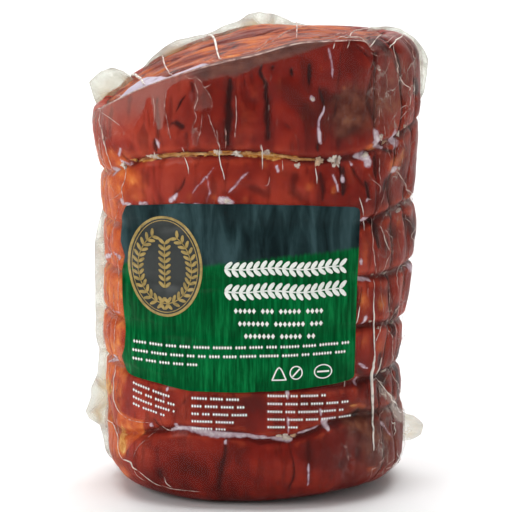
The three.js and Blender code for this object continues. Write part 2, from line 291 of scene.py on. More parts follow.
class Wall:
    """Angles and heights at even steps over the roll's wall, with the fields that the pieces share."""

    def __init__(self):
        self.count = int(TURN * MEAN_RADIUS / LATTICE_STEP)
        self.phi = np.linspace(0, TURN, self.count, endpoint=False)[:, None]
        self.z = np.arange(LATTICE_LOW, LATTICE_HIGH, LATTICE_STEP)[None, :]
        self.grid_phi, self.grid_z = np.broadcast_arrays(self.phi, self.z)
        x, y = section(self.grid_phi, self.grid_z)
        self.points = np.stack([x, y, self.grid_z], axis=-1)
        self.x = x * (1 + MEAN_RELIEF / np.hypot(x, y))
        self.front = smooth(-np.sin(self.grid_phi), 0.0, 0.15)
        self.uneven = cloud(self.points, 3.5, 77, 2)
        self.sway_x, self.sway_z = 0.7 * cloud(self.points, 5, 78, 2), 0.7 * cloud(self.points, 5, 79, 2)

    def read(self, field, phi, z):
        """The field's value between its steps."""
        across = (np.asarray(phi) % TURN) / TURN * self.count
        up = np.clip((np.asarray(z) - LATTICE_LOW) / LATTICE_STEP, 0, field.shape[1] - 1.001)
        i, j = np.floor(across).astype(int), np.floor(up).astype(int)
        s, t = across - i, up - j
        i, after = i % self.count, (i + 1) % self.count
        low = lerp(field[i, j], field[after, j], s)
        high = lerp(field[i, j + 1], field[after, j + 1], s)
        return lerp(low, high, t)

    def blur(self, field, width):
        """The field softened over width millimetres each way."""
        reach = int(math.ceil(2.5 * width / LATTICE_STEP))
        steps = np.arange(-reach, reach + 1)
        weights = bell(steps * LATTICE_STEP, width)
        weights = weights / weights.sum()
        across = sum(w * np.roll(field, int(k), axis=0) for k, w in zip(steps, weights))
        padded = np.pad(across, ((0, 0), (reach, reach)), mode="edge")
        high = field.shape[1]
        return sum(w * padded[:, k : k + high] for k, w in enumerate(weights))

    def spot(self, x, z, half_x, half_z):
        """A soft round patch on the front."""
        return self.front * bell(self.x - x, half_x) * bell(self.grid_z - z, half_z)

    def strokes(self, rows, wider=0.0):
        """Soft uneven lines on the front that thin out at their ends. Where they cross, the strongest counts."""
        total = np.zeros(self.grid_z.shape)
        for half, share, *flat in rows:
            path = np.array(points_of(flat), float)
            reach = 2.5 * (half + wider) + 1
            low, high = path.min(axis=0) - reach, path.max(axis=0) + reach
            close = (self.front > 0) & (self.x > low[0]) & (self.x < high[0])
            at = np.nonzero(close & (self.grid_z > low[1]) & (self.grid_z < high[1]))
            x, z = self.x[at] + self.sway_x[at], self.grid_z[at] + self.sway_z[at]
            apart, run = np.full(x.shape, 1e9), np.zeros(x.shape)
            lengths = np.hypot(*np.diff(path, axis=0).T) + 1e-9
            starts = np.cumsum(lengths) - lengths
            for (x0, z0), (x1, z1), start, length in zip(path, path[1:], starts, lengths):
                t = np.clip(((x - x0) * (x1 - x0) + (z - z0) * (z1 - z0)) / length**2, 0, 1)
                gap = np.hypot(x - lerp(x0, x1, t), z - lerp(z0, z1, t))
                run = np.where(gap < apart, (start + t * length) / lengths.sum(), run)
                apart = np.minimum(apart, gap)
            thin = 0.35 + 0.65 * np.sin(np.pi * run) ** 0.6 if lengths.sum() > 4 * half else 1.0
            width = half * thin * (1 + 0.45 * self.uneven[at]) + wider
            total[at] = np.maximum(total[at], share * bell(apart, width) * self.front[at])
        return total

    def inside(self, outline):
        """One inside an outline on the front, and nothing outside it."""
        odd = np.zeros(self.grid_z.shape, bool)
        for (x0, z0), (x1, z1) in zip(outline, outline[1:] + outline[:1]):
            crosses = (z0 > self.grid_z) != (z1 > self.grid_z)
            odd ^= crosses & (self.x < x0 + (x1 - x0) * (self.grid_z - z0) / (z1 - z0 + 1e-9))
        return odd * self.front


wall = Wall()
CUT_ANGLES, CUT_SHARES = cut_angles()
STRING_RADIUS = 0.75
FILM_GAP = 0.3
LUMP_SKIRT = 1.2  # how far the edge of a lump of fat reaches into the rind

# Cuts and hollows at the front, dented and darkened by painted shade: half the width, the share, then x and z of each
# point
DARK_MARKS = [
    (1.7, 0.5, -49, 208, -49, 197, -48, 187.5), (0.5, 0.8, -39.5, 200.5, -37, 207, -34.5, 210),
    (2.2, 0.75, -38.6, 195.4, -37.2, 194.6), (0.6, 0.7, -44.5, 195.5, -39.5, 195.5),
    (1.8, 0.6, -32, 215.5, -31, 212), (2.5, 0.8, -13, 218, -13.5, 201, -14, 185.5),
    (0.5, 0.7, -6.5, 220.5, -5.5, 212.5), (0.6, 0.7, -2.5, 221, -1, 215.5),
    (2, 0.45, -5.5, 211.5, -4, 207.5, -0.5, 207), (1.5, 0.45, -33.5, 192, -34.5, 182.5),
    (0.5, 0.5, -54, 202.5, -53, 194, -51, 187.5), (1, 1, 3, 225, 2, 222, 4, 217, 5.5, 208, 6, 189.5),
    (2.6, 0.6, 5, 217, 6, 189), (0.5, 0.8, 7.5, 225, 8, 223, 9, 225.5), (0.9, 0.9, 17, 223, 17.5, 220.5),
    (1.3, 0.9, 27, 225, 26.5, 220.5, 27, 215.5), (4, 0.35, 22, 228.5, 27, 216.5),
    (0.6, 0.5, 42.5, 232, 42.5, 221, 42, 211), (1, 1, 32, 213, 34, 208.5, 35.5, 205),
    (4, 0.5, 35, 211.5, 39, 207.5, 43.5, 208), (1.2, 0.6, 43.5, 207.5, 41, 200, 40, 197.5),
    (2.6, 0.55, 61.5, 220, 58.5, 206.5, 62, 196), (0.8, 0.9, 61.5, 227, 64.5, 228.5),
    (0.5, 0.8, 50, 233.5, 54, 230, 59.5, 226.5), (0.8, 0.7, 63.5, 228.5, 61.5, 223.5, 59, 220),
    (2, 0.8, 80.5, 212.5, 81.5, 206), (3, 0.3, 14.5, 209.5, 18.5, 204.5, 26, 201.5),
    (0.8, 0.5, 13, 198, 17.5, 192.5), (3, 0.35, 25, 204, 30, 198.5),
    (3, 0.45, 50, 191.5, 44, 188.5, 42.5, 184.5), (0.8, 0.7, -68.5, 178, -66.5, 176, -65.5, 174.5),
    (1.2, 0.7, -50.5, 187.5, -50, 181), (0.5, 0.7, -47, 187, -47.5, 184.5),
    (2.2, 0.35, -20.5, 175.5, -25, 169, -30.5, 161), (2.2, 0.35, -1.5, 170.5, -10.5, 163, -14, 160),
    (1, 0.6, -34.5, 169, -37.5, 163, -41.5, 158.5), (4, 0.25, -28.5, 169, -29.5, 165.5),
    (3, 0.4, 1, 163.5, 3.5, 163), (1.2, 0.8, 6, 193, 6, 187.5), (1, 0.8, 32, 185.5, 31.5, 181.5),
    (0.5, 0.9, 33, 179.5, 33.5, 176), (3.5, 0.5, 19, 170, 18, 163, 22, 158.5), (4, 0.5, -2, 164, 4, 162),
    (1.5, 0.6, 32.5, 171, 33.5, 162.5, 33, 157), (2, 0.75, 43, 175.5, 43.5, 169.5, 43.5, 159.5),
    (0.8, 0.8, 45.5, 174.5, 44.5, 169.5), (1.6, 0.75, 55, 166, 56.5, 161, 57.2, 156),
    (1, 0.6, 48.5, 174, 50, 169, 54, 163), (1.2, 0.7, 61.5, 177.5, 61, 166.5),
    (1.2, 0.8, 66.5, 180, 69, 178.5), (2.5, 0.7, 68, 163.5, 67.5, 160), (3, 0.5, 75.5, 177, 76, 163),
    (2, 0.8, 60.5, 147, 62, 137.5, 62.5, 131), (3, 0.6, 70, 139, 71, 135.5),
    (2, 0.7, 78, 144, 80.5, 132.5, 81.5, 123), (1.5, 0.7, 68.5, 110, 68.5, 99.5),
    (1, 0.7, 51.5, 113.5, 51, 106.5, 50.5, 100), (0.6, 0.7, 53.5, 112.5, 52.5, 105, 51.5, 101),
    (2.2, 0.35, 54, 132, 54, 128), (2, 0.5, 67, 116, 69.5, 114),
    (4, 0.55, 52.5, 68.5, 56.5, 65), (2.5, 0.85, 65.5, 65, 67, 59), (1.5, 0.6, 62.5, 76.5, 62, 69),
    (1.5, 0.5, 57.5, 67.5, 57.5, 58), (4, 0.35, 46, 25.5, 46.5, 21.5), (0.8, 0.4, 53, 85.5, 52, 80.5),
    (1.2, 0.5, 69.5, 41, 70, 33.5), (1.5, 0.6, -52, 45, -50.5, 42.5, -48.5, 40),
    (1.2, 0.45, -32.5, 60, -37, 54.5, -39.5, 50.5, -41, 46, -41.5, 42.5),
    (1.9, 0.6, -15, 37.5, -16, 28, -18, 19.5, -19.5, 10.5), (2.3, 0.6, -48.5, 18.5, -48.5, 15),
    (3, 0.4, -4, 54, -1.5, 52), (0.6, 0.6, 17.5, 34.5, 18.5, 25.5, 19, 18, 17, 9.5),
    (2.4, 0.5, 27, 35.5, 26.5, 30.5, 26.5, 24.5), (1.8, 0.4, 26.5, 23.5, 26.5, 11),
    (3.5, 0.5, 45, 23, 43.5, 19.5), (3.5, 0.5, 52.5, 28.5, 51.5, 24), (3, 0.7, 53.5, 47.5, 54, 45.5),
    (4, 0.5, 41, 45, 41, 42.5), (4, 0.5, 53.5, 61, 54, 60.5), (3.5, 0.7, 64, 59.5, 65.5, 55.5),
    (3, 0.4, 1.5, 56.5, 2.5, 53), (1.2, 0.5, -71, 152, -69, 153.5), (0.6, 0.6, -74, 124.5, -73.5, 122.5),
    (0.6, 0.6, -68.5, 124.5, -66.5, 124), (0.5, 0.7, -73, 70, -72, 72.5),
]
# White fat in folds of the rind, given in the same way
FAT_MARKS = [
    (1, 0.7, -49.5, 187.5, -48, 183), (1.1, 0.5, 35, 233.5, 36.5, 227.5, 38, 222.5, 38.5, 217.5),
    (1.3, 0.9, 27.5, 209, 28.5, 208), (0.9, 0.75, 35.5, 204, 32.5, 198.5, 31.5, 194, 32, 189, 34, 185),
    (0.7, 0.6, -20.5, 175, -24, 170, -28, 165, -31, 161.5),
    (0.75, 0.65, -2.5, 173, -7, 169, -12, 164, -14, 161.5),
    (0.65, 0.6, -24, 170, -23, 166.5, -22, 162.5, -24.5, 156.5), (1.1, 0.9, -39, 160, -42, 157),
    (1.6, 1, -17, 158, -14.5, 158, -12, 156.5), (1, 0.8, -65.5, 153, -61.5, 152.5),
    (1, 0.8, -57, 154.5, -53.5, 154.5), (0.8, 0.8, -38, 156, -34.5, 155.5),
    (0.7, 0.8, -31, 155.5, -26.5, 156),
    (1, 0.75, -68.5, 180, -70, 177.5), (0.9, 0.95, -69.5, 175, -66.5, 172.5, -64.5, 174),
    (1.5, 0.8, -73, 169.5, -73.5, 167), (0.8, 0.8, 38.5, 170.5, 40, 165, 40.5, 161.5),
    (1, 0.75, 10.5, 175, 11, 172.5), (1.1, 0.9, 31.5, 192.5, 32.5, 189.5, 33, 185.5),
    (1, 0.7, 43.5, 169, 43.5, 166.5), (2.3, 0.95, 54.5, 178, 57.5, 177.5, 57.5, 174),
    (1.4, 0.95, 61, 184.5, 66, 181.5), (1.6, 0.95, 62, 189, 63.5, 185.5),
    (1.7, 0.8, 70, 189.5, 71, 184, 71, 179.5), (1.2, 0.95, 72.5, 169.5, 72, 168.5),
    (0.8, 0.9, 49, 175, 49, 174.5), (0.8, 0.7, 56.5, 156.5, 55, 156),
    (1, 0.95, 51.5, 147, 54.5, 146.5, 57.5, 146.5), (1.1, 0.95, 51, 117.5, 55, 116, 59, 115),
    (1.2, 0.8, 51.5, 126, 52, 124.5), (1.5, 0.75, 79.5, 115, 80, 113), (1.2, 0.9, 55.5, 96.5, 55.5, 93.5),
    (0.8, 0.75, 51, 73.5, 56.5, 69.5),
    (0.7, 0.5, 66.5, 40.5, 68.5, 34, 71, 27.5), (1.2, 0.6, 51, 65, 52, 62),
    (1.5, 1, -44, 40.3, -38.5, 41.5, -34, 41.5, -28.5, 40.5, -23, 39.5, -16, 39, -9.5, 39, -0.5, 37.5),
    (0.8, 0.9, -53.5, 41.5, -53.5, 41), (0.9, 0.95, -41, 43.5, -41, 42.5), (0.9, 0.75, -44, 62, -44, 60.5),
    (0.6, 0.7, -45.5, 58.5, -45.5, 56.5), (0.8, 0.8, -15.5, 35.5, -15.5, 34.5),
    (1, 1, -5.5, 39, 0, 38, 5.5, 37.5, 8.5, 37),
    (1.6, 1, 8, 37, 15, 36.5, 19, 36), (0.9, 0.95, 20, 39, 24.5, 40, 28, 41, 32, 42.5),
    (1.6, 0.95, 32.5, 46, 36, 44, 36.5, 40.5), (0.9, 0.75, 32, 52, 32.5, 48),
    (1.1, 0.75, 16, 62.5, 16, 57.5),
    (0.9, 0.6, 16, 49, 16.5, 39.5), (0.8, 0.65, 26.5, 23.5, 26.5, 17, 26.5, 11), (0.8, 0.8, -78.5, 119, -74.5, 124.5),
    (0.8, 0.85, -71.5, 126, -69, 125, -69, 123), (0.9, 1, -77, 65.5, -73, 72),
    (0.5, 0.85, -74, 94.5, -67.5, 96), (1.1, 0.95, -67, 154, -66.5, 153),
]
# Where fat glows through: x, z, half-width, half-height and share
ORANGE_SPOTS = [
    (3.5, 217, 1, 4, 0.5), (32, 223, 1, 4, 0.5), (11.5, 215.5, 1, 6.5, 0.35), (62, 203.5, 1.5, 4, 0.5),
    (43.5, 212.5, 1.5, 1.5, 0.6), (-61, 167, 4.5, 3.5, 0.35), (-58.5, 157, 3.5, 3.5, 0.35),
    (-37, 169.5, 4, 4, 0.35), (-32, 159, 5, 4, 0.35), (-20.5, 159.5, 3.5, 4, 0.35), (3.5, 176, 4, 3.5, 0.4),
    (15, 171.5, 5, 5, 0.35), (26.5, 164.5, 4.5, 6, 0.45), (38.5, 163, 2.5, 6, 0.45), (-4.5, 158.5, 5, 3, 0.3),
    (57, 182, 3.5, 2, 0.9), (69.5, 170, 4, 6, 0.8), (74.5, 176, 2.5, 5, 0.5), (54.5, 130, 3.4, 9, 0.6),
    (54.5, 105, 3.6, 9, 0.6), (63.5, 121, 3, 5, 0.45), (64, 102, 3.6, 8, 0.45), (68, 128, 1, 1.5, 0.5),
    (78, 151.5, 1, 3.5, 0.5), (64, 80, 3.5, 7, 0.55), (55, 84, 3.5, 7, 0.5), (57, 14, 3.5, 2, 0.5),
    (-78.5, 43, 2.5, 3.5, 1), (-75, 27.5, 3, 5, 0.9), (-65.5, 37, 4, 4.5, 1), (-68.5, 26.5, 2, 4.5, 1),
    (-60, 37, 4, 4, 0.8), (-67, 11.5, 3.5, 4.5, 0.6), (-77.5, 53, 1.5, 6, 0.8), (51, 51, 4.5, 1.8, 0.7),
    (60, 13.5, 3.5, 2.5, 0.45), (54, 49, 3.5, 1.5, 0.7),
    (72, 141, 3, 6, 0.4), (75, 108, 3, 8, 0.45), (70.5, 90, 2.5, 6, 0.4), (75, 76, 3, 5, 0.4), (72, 126, 2, 6, 0.35),
    (76, 192, 3, 6, 0.3), (73, 57, 3, 5, 0.3),
]
# Yellow gel under the film, given in the same way
YELLOW_SPOTS = [
    (-76, 53, 2.2, 4, 1), (-68, 26.5, 1.5, 4, 0.8), (-68, 33.5, 1.5, 3.5, 0.45),
    (49, 51.5, 2.5, 1, 0.5),
]
ORANGE_WEDGE = [(-70, 43), (-56, 43.5), (-60.5, 32.5), (-65, 26.5), (-68.8, 20.9), (-71.5, 28)]
# Gel along the string: half the width, the share, then x and z of each point
GEL_LINES = [
    (1.0, 0.75, -61, 174.9, -50, 178.2, -41, 179.8, -33.7, 180.1, -28.3, 179.4), (1.5, 1, -58, 175.5, -51, 177.8),
    (1.2, 0.9, -24, 181.6, -17.6, 181.6, -6, 180.6, 1.5, 180.9, 13.4, 179.8, 22, 178), (1.6, 1, 4, 180, 13, 179.3),
]
# Lower edge of the film that hangs from the rim, and the outline of a slack patch, as points of x and z
VEIL_EDGE = [(-79, 189), (-68, 193.5), (-60.5, 196.5), (-55, 202.5), (-53.5, 207.5), (-51.5, 209.5),
    (-50.5, 202.5), (-48, 192.5), (-45.5, 193.5), (-44, 202.5), (-43.5, 211.5), (-41, 214.5),
    (-36.5, 217.5), (-30, 218.5), (-27.5, 218), (-22.5, 218.5), (-16.5, 220.5), (-10.5, 220), (-5, 222),
    (3, 226), (9, 228), (18.5, 230.5), (26, 232.5), (31, 234), (36, 236), (45, 239), (70, 244)]
SLACK_PATCH = [(-29, 219), (-30, 216), (-28.5, 209), (-30, 203.5), (-27.5, 202.5), (-24, 205),
    (-22, 203.5), (-21.5, 208), (-23, 212.5), (-25.5, 214), (-27.5, 217)]
# Where the film lies doubled and white: bands given as cuts are, and the outline of a fold
MILK_LINES = [
    (3, 0.4, -82, 190, -80, 179, -77, 168), (1.1, 0.6, 62, 62, 65, 55.5, 68.5, 48), (0.5, 0.5, 72, 168, 77, 158),
    (0.5, 0.45, 63, 142, 66.5, 131), (0.5, 0.4, 74.5, 150, 74.8, 128), (0.5, 0.45, 70, 110, 73, 98),
    (0.5, 0.35, 78, 146, 82, 128), (0.6, 0.5, 66, 232, 71.5, 237), (0.5, 0.4, 69, 228, 71.8, 213.5, 76.7, 202.4),
]
MILK_FOLD = [(60.7, 63), (65.6, 57.5), (71, 50), (75, 42), (79, 32), (76.5, 30), (73, 38), (69, 47), (64.5, 56)]
RIM_LINE_START, RIM_LINE_END, RIM_LINE_OUT = 3.25, 5.55, 0.6

# Creases of the film: half the thickness, how white it is, then x and z of each point
CREASES = [
    (0.3, 0.5, -77.5, 197.5, -72, 195, -68, 192.5), (0.45, 0.5, -79, 195.5, -77.5, 187, -75, 178.5),
    (0.28, 0.35, -51.5, 209.5, -50.5, 205.5, -50, 200, -50.5, 194),
    (0.28, 0.35, -44, 211.5, -44.5, 202, -43.5, 194.5, -41.5, 187.5),
    (0.28, 0.35, -29, 218.5, -30, 216, -28.5, 209, -30.5, 203.5, -29.5, 199, -31.5, 193.5),
    (0.28, 0.4, -29, 218.5, -27, 217, -25.5, 214, -22, 215.5),
    (0.28, 0.4, -25.5, 214, -23, 211, -21.5, 206.5, -22, 202.5),
    (0.32, 0.45, -23.5, 201, -20.5, 192, -18, 184.5), (0.28, 0.2, -26.5, 201, -27, 194.5, -28.5, 189.5),
    (0.3, 0.5, -10, 210, -9.5, 201, -10.5, 190.5),
    (0.22, 0.3, -35, 219.5, -32, 218, -28.5, 219.5), (0.28, 0.25, -15.5, 195.5, -15, 184),
    (0.25, 0.4, -83.5, 188, -80.5, 184, -77.5, 184), (0.5, 0.9, 72, 237.5, 68.5, 233.5, 65.5, 231),
    (0.35, 0.5, 69, 234, 68.5, 226.5, 72, 216, 76.5, 207.5, 77.5, 202, 72.5, 195),
    (0.25, 0.4, 74, 235.5, 78.5, 229.5, 83, 223.5, 85, 218), (0.45, 0.6, 38.5, 235.5, 38, 232.5),
    (0.2, 0.3, 50, 234, 56.5, 229.5, 60.5, 227), (0.35, 0.5, 46, 236, 45, 232.5),
    (0.25, 0.4, 63, 234, 65.5, 234.5, 69, 237), (0.25, 0.3, 77, 201, 78.5, 196.5, 75.5, 191),
    (0.25, 0.3, 80.5, 206.5, 83, 196), (0.35, 0.6, 2, 185.5, 2.5, 183), (0.3, 0.4, 6, 205.5, 6, 202),
    (0.22, 0.4, 71, 199.5, 74.5, 201.5, 77, 200),
    (0.4, 0.65, -78, 187.5, -76, 181, -74, 175, -72.5, 169.5), (0.28, 0.5, -81, 183, -79.5, 174, -75, 167),
    (0.3, 0.6, -64.5, 172.5, -65.5, 166, -67, 161.5, -67, 155.5, -66.5, 152.5),
    (0.2, 0.3, -74, 161.5, -71.5, 158),
    (0.28, 0.3, -27, 192.5, -29, 188), (0.28, 0.3, -43.5, 191.5, -41.5, 187.5),
    (0.33, 0.6, -19.5, 193, -18.5, 187.5, -18, 183), (0.28, 0.3, -15, 193, -15, 185.5),
    (0.3, 0.6, -36.5, 184, -35.5, 181.5),
    (0.35, 0.7, -50.5, 181, -50, 178.5), (0.42, 0.85, -35, 179, -33.5, 174.5, -33, 171),
    (0.42, 0.9, -17.5, 184, -18, 180.5, -17, 174.5, -15.5, 168.5), (0.3, 0.5, -10.5, 192, -10.5, 189.5),
    (0.2, 0.3, -67, 159, -70, 156, -74, 152.5), (0.42, 0.8, 2.5, 186, 3, 182.5, 3, 177.5, 3, 173.5),
    (0.42, 0.8, 29, 174, 30, 169, 30, 166),
    (0.35, 0.5, 71.5, 167.5, 75.5, 160.5, 78, 151), (0.33, 0.85, 51.5, 158, 52.5, 153.5, 53.5, 148.5),
    (0.3, 0.4, 62, 176, 62, 168.5, 62.5, 163.5),
    (0.3, 0.5, 13, 178, 13.5, 173),
    (0.25, 0.4, 7, 170, 6, 166, 4, 165.5), (0.25, 0.35, 56, 169.5, 57.5, 166.5, 62, 162, 61.5, 158),
    (0.2, 0.4, 74, 175, 73.5, 169.5), (0.35, 0.8, 53.5, 146, 54, 141),
    (0.28, 0.6, 62.5, 142, 64.5, 135, 67.5, 129), (0.2, 0.5, 64, 140.5, 68, 135.5, 70, 132),
    (0.25, 0.5, 70, 128, 66.5, 125, 64, 119, 60.5, 115.5), (0.28, 0.5, 58, 146, 58.5, 131.5, 60.5, 118),
    (0.25, 0.5, 74.5, 121.5, 71.5, 115.5, 69.5, 107.5), (0.2, 0.3, 75, 145.5, 74.5, 134.5),
    (0.2, 0.5, 76.5, 144, 80.5, 130.5, 82, 125), (0.28, 0.4, 67, 111.5, 67.5, 103.5, 66.5, 97),
    (0.25, 0.5, 76, 98.5, 70.5, 96.5, 68, 91.5), (0.22, 0.4, 73.5, 98.5, 68.5, 93.5),
    (0.35, 0.6, 59, 115, 59.5, 105, 59, 98.5),
    (0.25, 0.5, 55, 157, 57.5, 156), (0.28, 0.35, 70.5, 168.5, 76, 159, 81.5, 148),
    (0.2, 0.4, 82, 152, 81.5, 146.5), (0.18, 0.3, 56, 113, 56.5, 106.5),
    (0.45, 0.9, 52, 102.5, 51, 97, 50, 93.5), (0.7, 1, 59.2, 104.5, 59.5, 84.3, 60.3, 74.6),
    (1.4, 1, 60.3, 76, 59.4, 70, 58.4, 65.2, 58.8, 58, 59.2, 48), (1, 1, 58.6, 63, 59.3, 51.1, 59.6, 37.9),
    (0.7, 1, 59.3, 46, 59.6, 35, 59.7, 24.6), (0.3, 0.6, 64, 92, 62, 87, 60, 83),
    (0.28, 0.5, 65, 91, 68, 84.5, 69.5, 76, 70, 68.5, 69, 64), (0.22, 0.4, 71, 89.5, 72, 83.5),
    (0.5, 0.75, 64, 73.5, 62.5, 68.5, 60.5, 64),
    (0.4, 0.9, 61, 62.5, 65.6, 55.7, 70.8, 47.8, 73.5, 41, 76.3, 33.2),
    (0.3, 0.6, 62, 61, 64.2, 59, 67.8, 50.8, 71.6, 40.8, 73, 35),
    (0.35, 0.8, 69.5, 37, 71.5, 32.5, 71.5, 27), (0.25, 0.5, 66, 13.5, 72, 15), (0.2, 0.35, 57, 13, 66, 16),
    (0.25, 0.6, 69, 64, 70.5, 59.5, 75.5, 48.5), (0.2, 0.3, 65.5, 45, 62, 40),
    (0.25, 0.3, 48.5, 60, 49.5, 56), (0.28, 0.4, -68, 43, -65, 42, -61, 42, -53.5, 42.5),
    (0.42, 0.85, -72, 66.5, -73, 60, -73, 54.5, -73, 49, -71, 45.5, -68, 43),
    (0.35, 0.85, -83.5, 38.5, -79.5, 34, -74.5, 34, -71, 30.5, -71, 25, -70, 21.5, -67.5, 19.5),
    (0.22, 0.4, -71.5, 41.5, -70.5, 33.5, -70, 25), (0.6, 0.9, -68, 20, -64, 20, -62.5, 17.5, -60, 16.5),
    (0.25, 0.5, -62.5, 17.5, -60.5, 13, -56, 10.5), (0.3, 0.7, -60, 16.5, -56, 13.5, -51.5, 10.5, -48, 9.5),
    (0.28, 0.45, -48, 10, -42.5, 9, -37, 9, -28.5, 9),
    (0.28, 0.2, -61.5, 19.5, -62, 24, -59.5, 29.5, -56, 33.5, -51.5, 37.5, -47, 41),
    (0.35, 0.65, -46.5, 15.5, -45.5, 12, -43, 10), (0.3, 0.6, -47, 41.5, -44.5, 40, -42, 40),
    (0.35, 0.5, 44.5, 65.5, 44.5, 61.5),
    (0.3, 0.6, 72.5, 18, 74.5, 8, 70, 11, 66, 10.5), (0.3, 0.1, 42.5, 33, 45.5, 29.5, 46, 23.5),
    (0.22, 0.35, 67, 19, 63, 16, 60.5, 13.5),
    (0.22, 0.5, -77, 145, -76.5, 135, -75, 129, -73.5, 125.5),
    (0.22, 0.4, -68, 152.5, -70, 147.5, -72, 138.5, -73, 130),
    (0.22, 0.5, -70.5, 126, -69.5, 117, -70, 105.5, -70, 96),
    (0.18, 0.3, -66.5, 152.5, -67, 142, -67.5, 131.5),
    (0.2, 0.4, -76, 119.5, -77, 105.5, -74.5, 97, -72, 94.5), (0.22, 0.6, -71, 93.5, -72, 85, -72, 74),
    (0.18, 0.3, -75, 91, -76, 82, -75, 73.5),
    (0.2, 0.5, -75, 62, -77.5, 54),
]

# Set fat along the string: x, z, half-length, half-height and how yellow it is
FAT_LUMPS = [
    (-66.5, 171.8, 1.9, 1.9, 0.0), (-50.5, 178.2, 4.2, 1.5, 0.3), (-18.8, 181.6, 2.5, 2, 0.3),
    (-9.5, 181, 3.8, 1.7, 0.15), (4.8, 181.4, 3, 1.8, 0.1), (20.4, 175, 1.6, 1.7, 0.0),
    (31, 176.6, 2.7, 2.3, 0.45), (38, 177.2, 2.4, 2.6, 0.1), (40.6, 176.4, 1.8, 3, 0.0),
    (54.4, 178.3, 2, 1.5, 0.0), (62.4, 186.6, 1.4, 2, 0.1), (64.2, 183.6, 1.2, 1.5, 0.5), (71.3, 187, 1, 2.2, 0.0),
    (74.6, 190.6, 1.1, 1.1, 0.0), (72.2, 169.1, 0.9, 1.1, 0.1), (-14.3, 157.9, 2, 1.2, 0.1), (27.9, 208, 1.1, 1.4, 0.0),
    (11.6, 38.3, 2, 1.5, 0.3), (15, 37.4, 2.7, 2.3, 0.2), (18.6, 38.2, 1.8, 1.5, 0.5), (-60, 175.6, 1.5, 1, 0.8),
    (-24.5, 180.4, 1.6, 1, 0.9), (-34, 180.6, 2, 1, 0.9), (9.5, 180.2, 1.4, 1, 0.9), (38.6, 174.8, 1.4, 1.6, 0.0),
]


def cut_distance():
    """Distance to the nearest cut, and that cut's share of the full depth."""
    nearest = np.full(wall.grid_z.shape, 1e9)
    share = np.ones(wall.grid_z.shape)
    for i, (angle, depth) in enumerate(zip(CUT_ANGLES, CUT_SHARES)):
        sway = 0.9 * np.sin(wall.grid_z / 9 + i * 2.3) + 0.5 * np.sin(wall.grid_z / 4.1 + i)
        turned = (wall.grid_phi - angle + 1.5 * TURN) % TURN - TURN / 2
        apart = np.abs(turned * MEAN_RADIUS - sway)
        share = np.where(apart < nearest, depth, share)
        nearest = np.minimum(nearest, apart)
    return nearest, share


def groove(distance, half):
    return (1 - np.minimum(1, np.abs(distance) / half)) ** 1.4


def wall_relief():
    """How far the rind stands off the smooth form, and how much painted shade it gets: as deep as it lies in a cut or
    under a string, along the dark marks and in pockets on the right.
    """
    apart, share = cut_distance()
    gaps = [np.abs(wall.grid_z - loop_height(k, wall.grid_phi)) for k in range(len(LOOPS))]
    loop_gap = np.minimum.reduce(gaps)
    lumps = (
        0.5 * np.sin(3 * wall.grid_phi + wall.grid_z / 27 + 0.6)
        + 0.5 * np.sin(5 * wall.grid_phi - wall.grid_z / 19 + 2.1)
        + 0.4 * np.sin(8 * wall.grid_phi + wall.grid_z / 11 + 4.4) * np.cos(wall.grid_z / 17)
    )
    side = np.where(wall.x < 0, -wall.x - 14, wall.x)
    scored = lerp(1.0, 0.1, wall.front * (1 - smooth(side, 55, 68)))
    crown = lerp(1.0, np.minimum(1, apart / 8), scored) * np.minimum(1, loop_gap / 13)
    cut = CUT_DEPTH * share * scored * groove(apart, CUT_HALF)
    tie = TIE_DEPTH * groove(loop_gap, LOOP_HALF)
    hollow = sum(
        depth * bell(along_from(x, z, wall.grid_phi), radius) * bell(wall.grid_z - z, radius)
        for x, z, radius, depth in HOLLOWS
    )
    fold = SEAM_DEPTH * bell(along_from(SEAM_X, HEIGHT, wall.grid_phi), SEAM_HALF)
    fold = fold * bell(wall.grid_z - HEIGHT, SEAM_REACH)
    torn = wall.spot(63, 176, 9, 9) + 0.6 * wall.spot(48, 199, 13, 14) + 0.7 * wall.spot(47, 45, 9, 10)
    marks = wall.strokes(DARK_MARKS)
    dents = 1.3 * marks + 1.1 * wall.strokes(DARK_MARKS, 4.0)
    relief = PILLOW * crown**0.6 + lumps - np.maximum(cut, tie) - 0.3 * np.minimum(cut, tie) - hollow - fold
    relief = relief + 0.5 * cloud(wall.points, 13, 3, 2) + 0.22 * cloud(wall.points, 4, 5, 2)
    relief = relief + torn * (0.9 * cloud(wall.points, 5, 8, 2) - 0.4) - dents
    relief = relief + 0.7 * cloud(wall.points * [1, 1, 0.15], 7, 91) * bell(loop_gap, 14)
    # Painted shade: dark in the cuts, a little under the string, along the dark marks and in pockets on the right side
    depth = np.maximum(cut / CUT_DEPTH, 0.35 * tie / TIE_DEPTH)
    pockets = smooth(cloud(wall.points * [1.0, 1.0, 0.4], 9, 71, 2), 0.1, 0.5) * smooth(wall.x, 56, 66) * wall.front
    dark = np.maximum.reduce([depth, marks, 0.7 * pockets])
    return relief, np.clip(dark, 0, 1), loop_gap


RIND, CUT_SHADE, LOOP_GAP = wall_relief()
TIED_RIND = wall.blur(RIND, 1.2)
# Painted shade and highlight from the relief: below a half in hollows of the rind, above it on its crests
RELIEF_SHADING = np.clip(0.5 + (RIND - wall.blur(RIND, 4)) / 3, 0, 1)
# Painted shade on the rind under the film that hangs from the rim, right of x -48
RIM_VEIL_SHADE = wall.front * smooth(wall.grid_z - follow(VEIL_EDGE, wall.x), -3, 2) * smooth(wall.x, -48, -22)
WEDGE = wall.blur(wall.inside(ORANGE_WEDGE), 0.8)
GEL = wall.strokes(GEL_LINES)


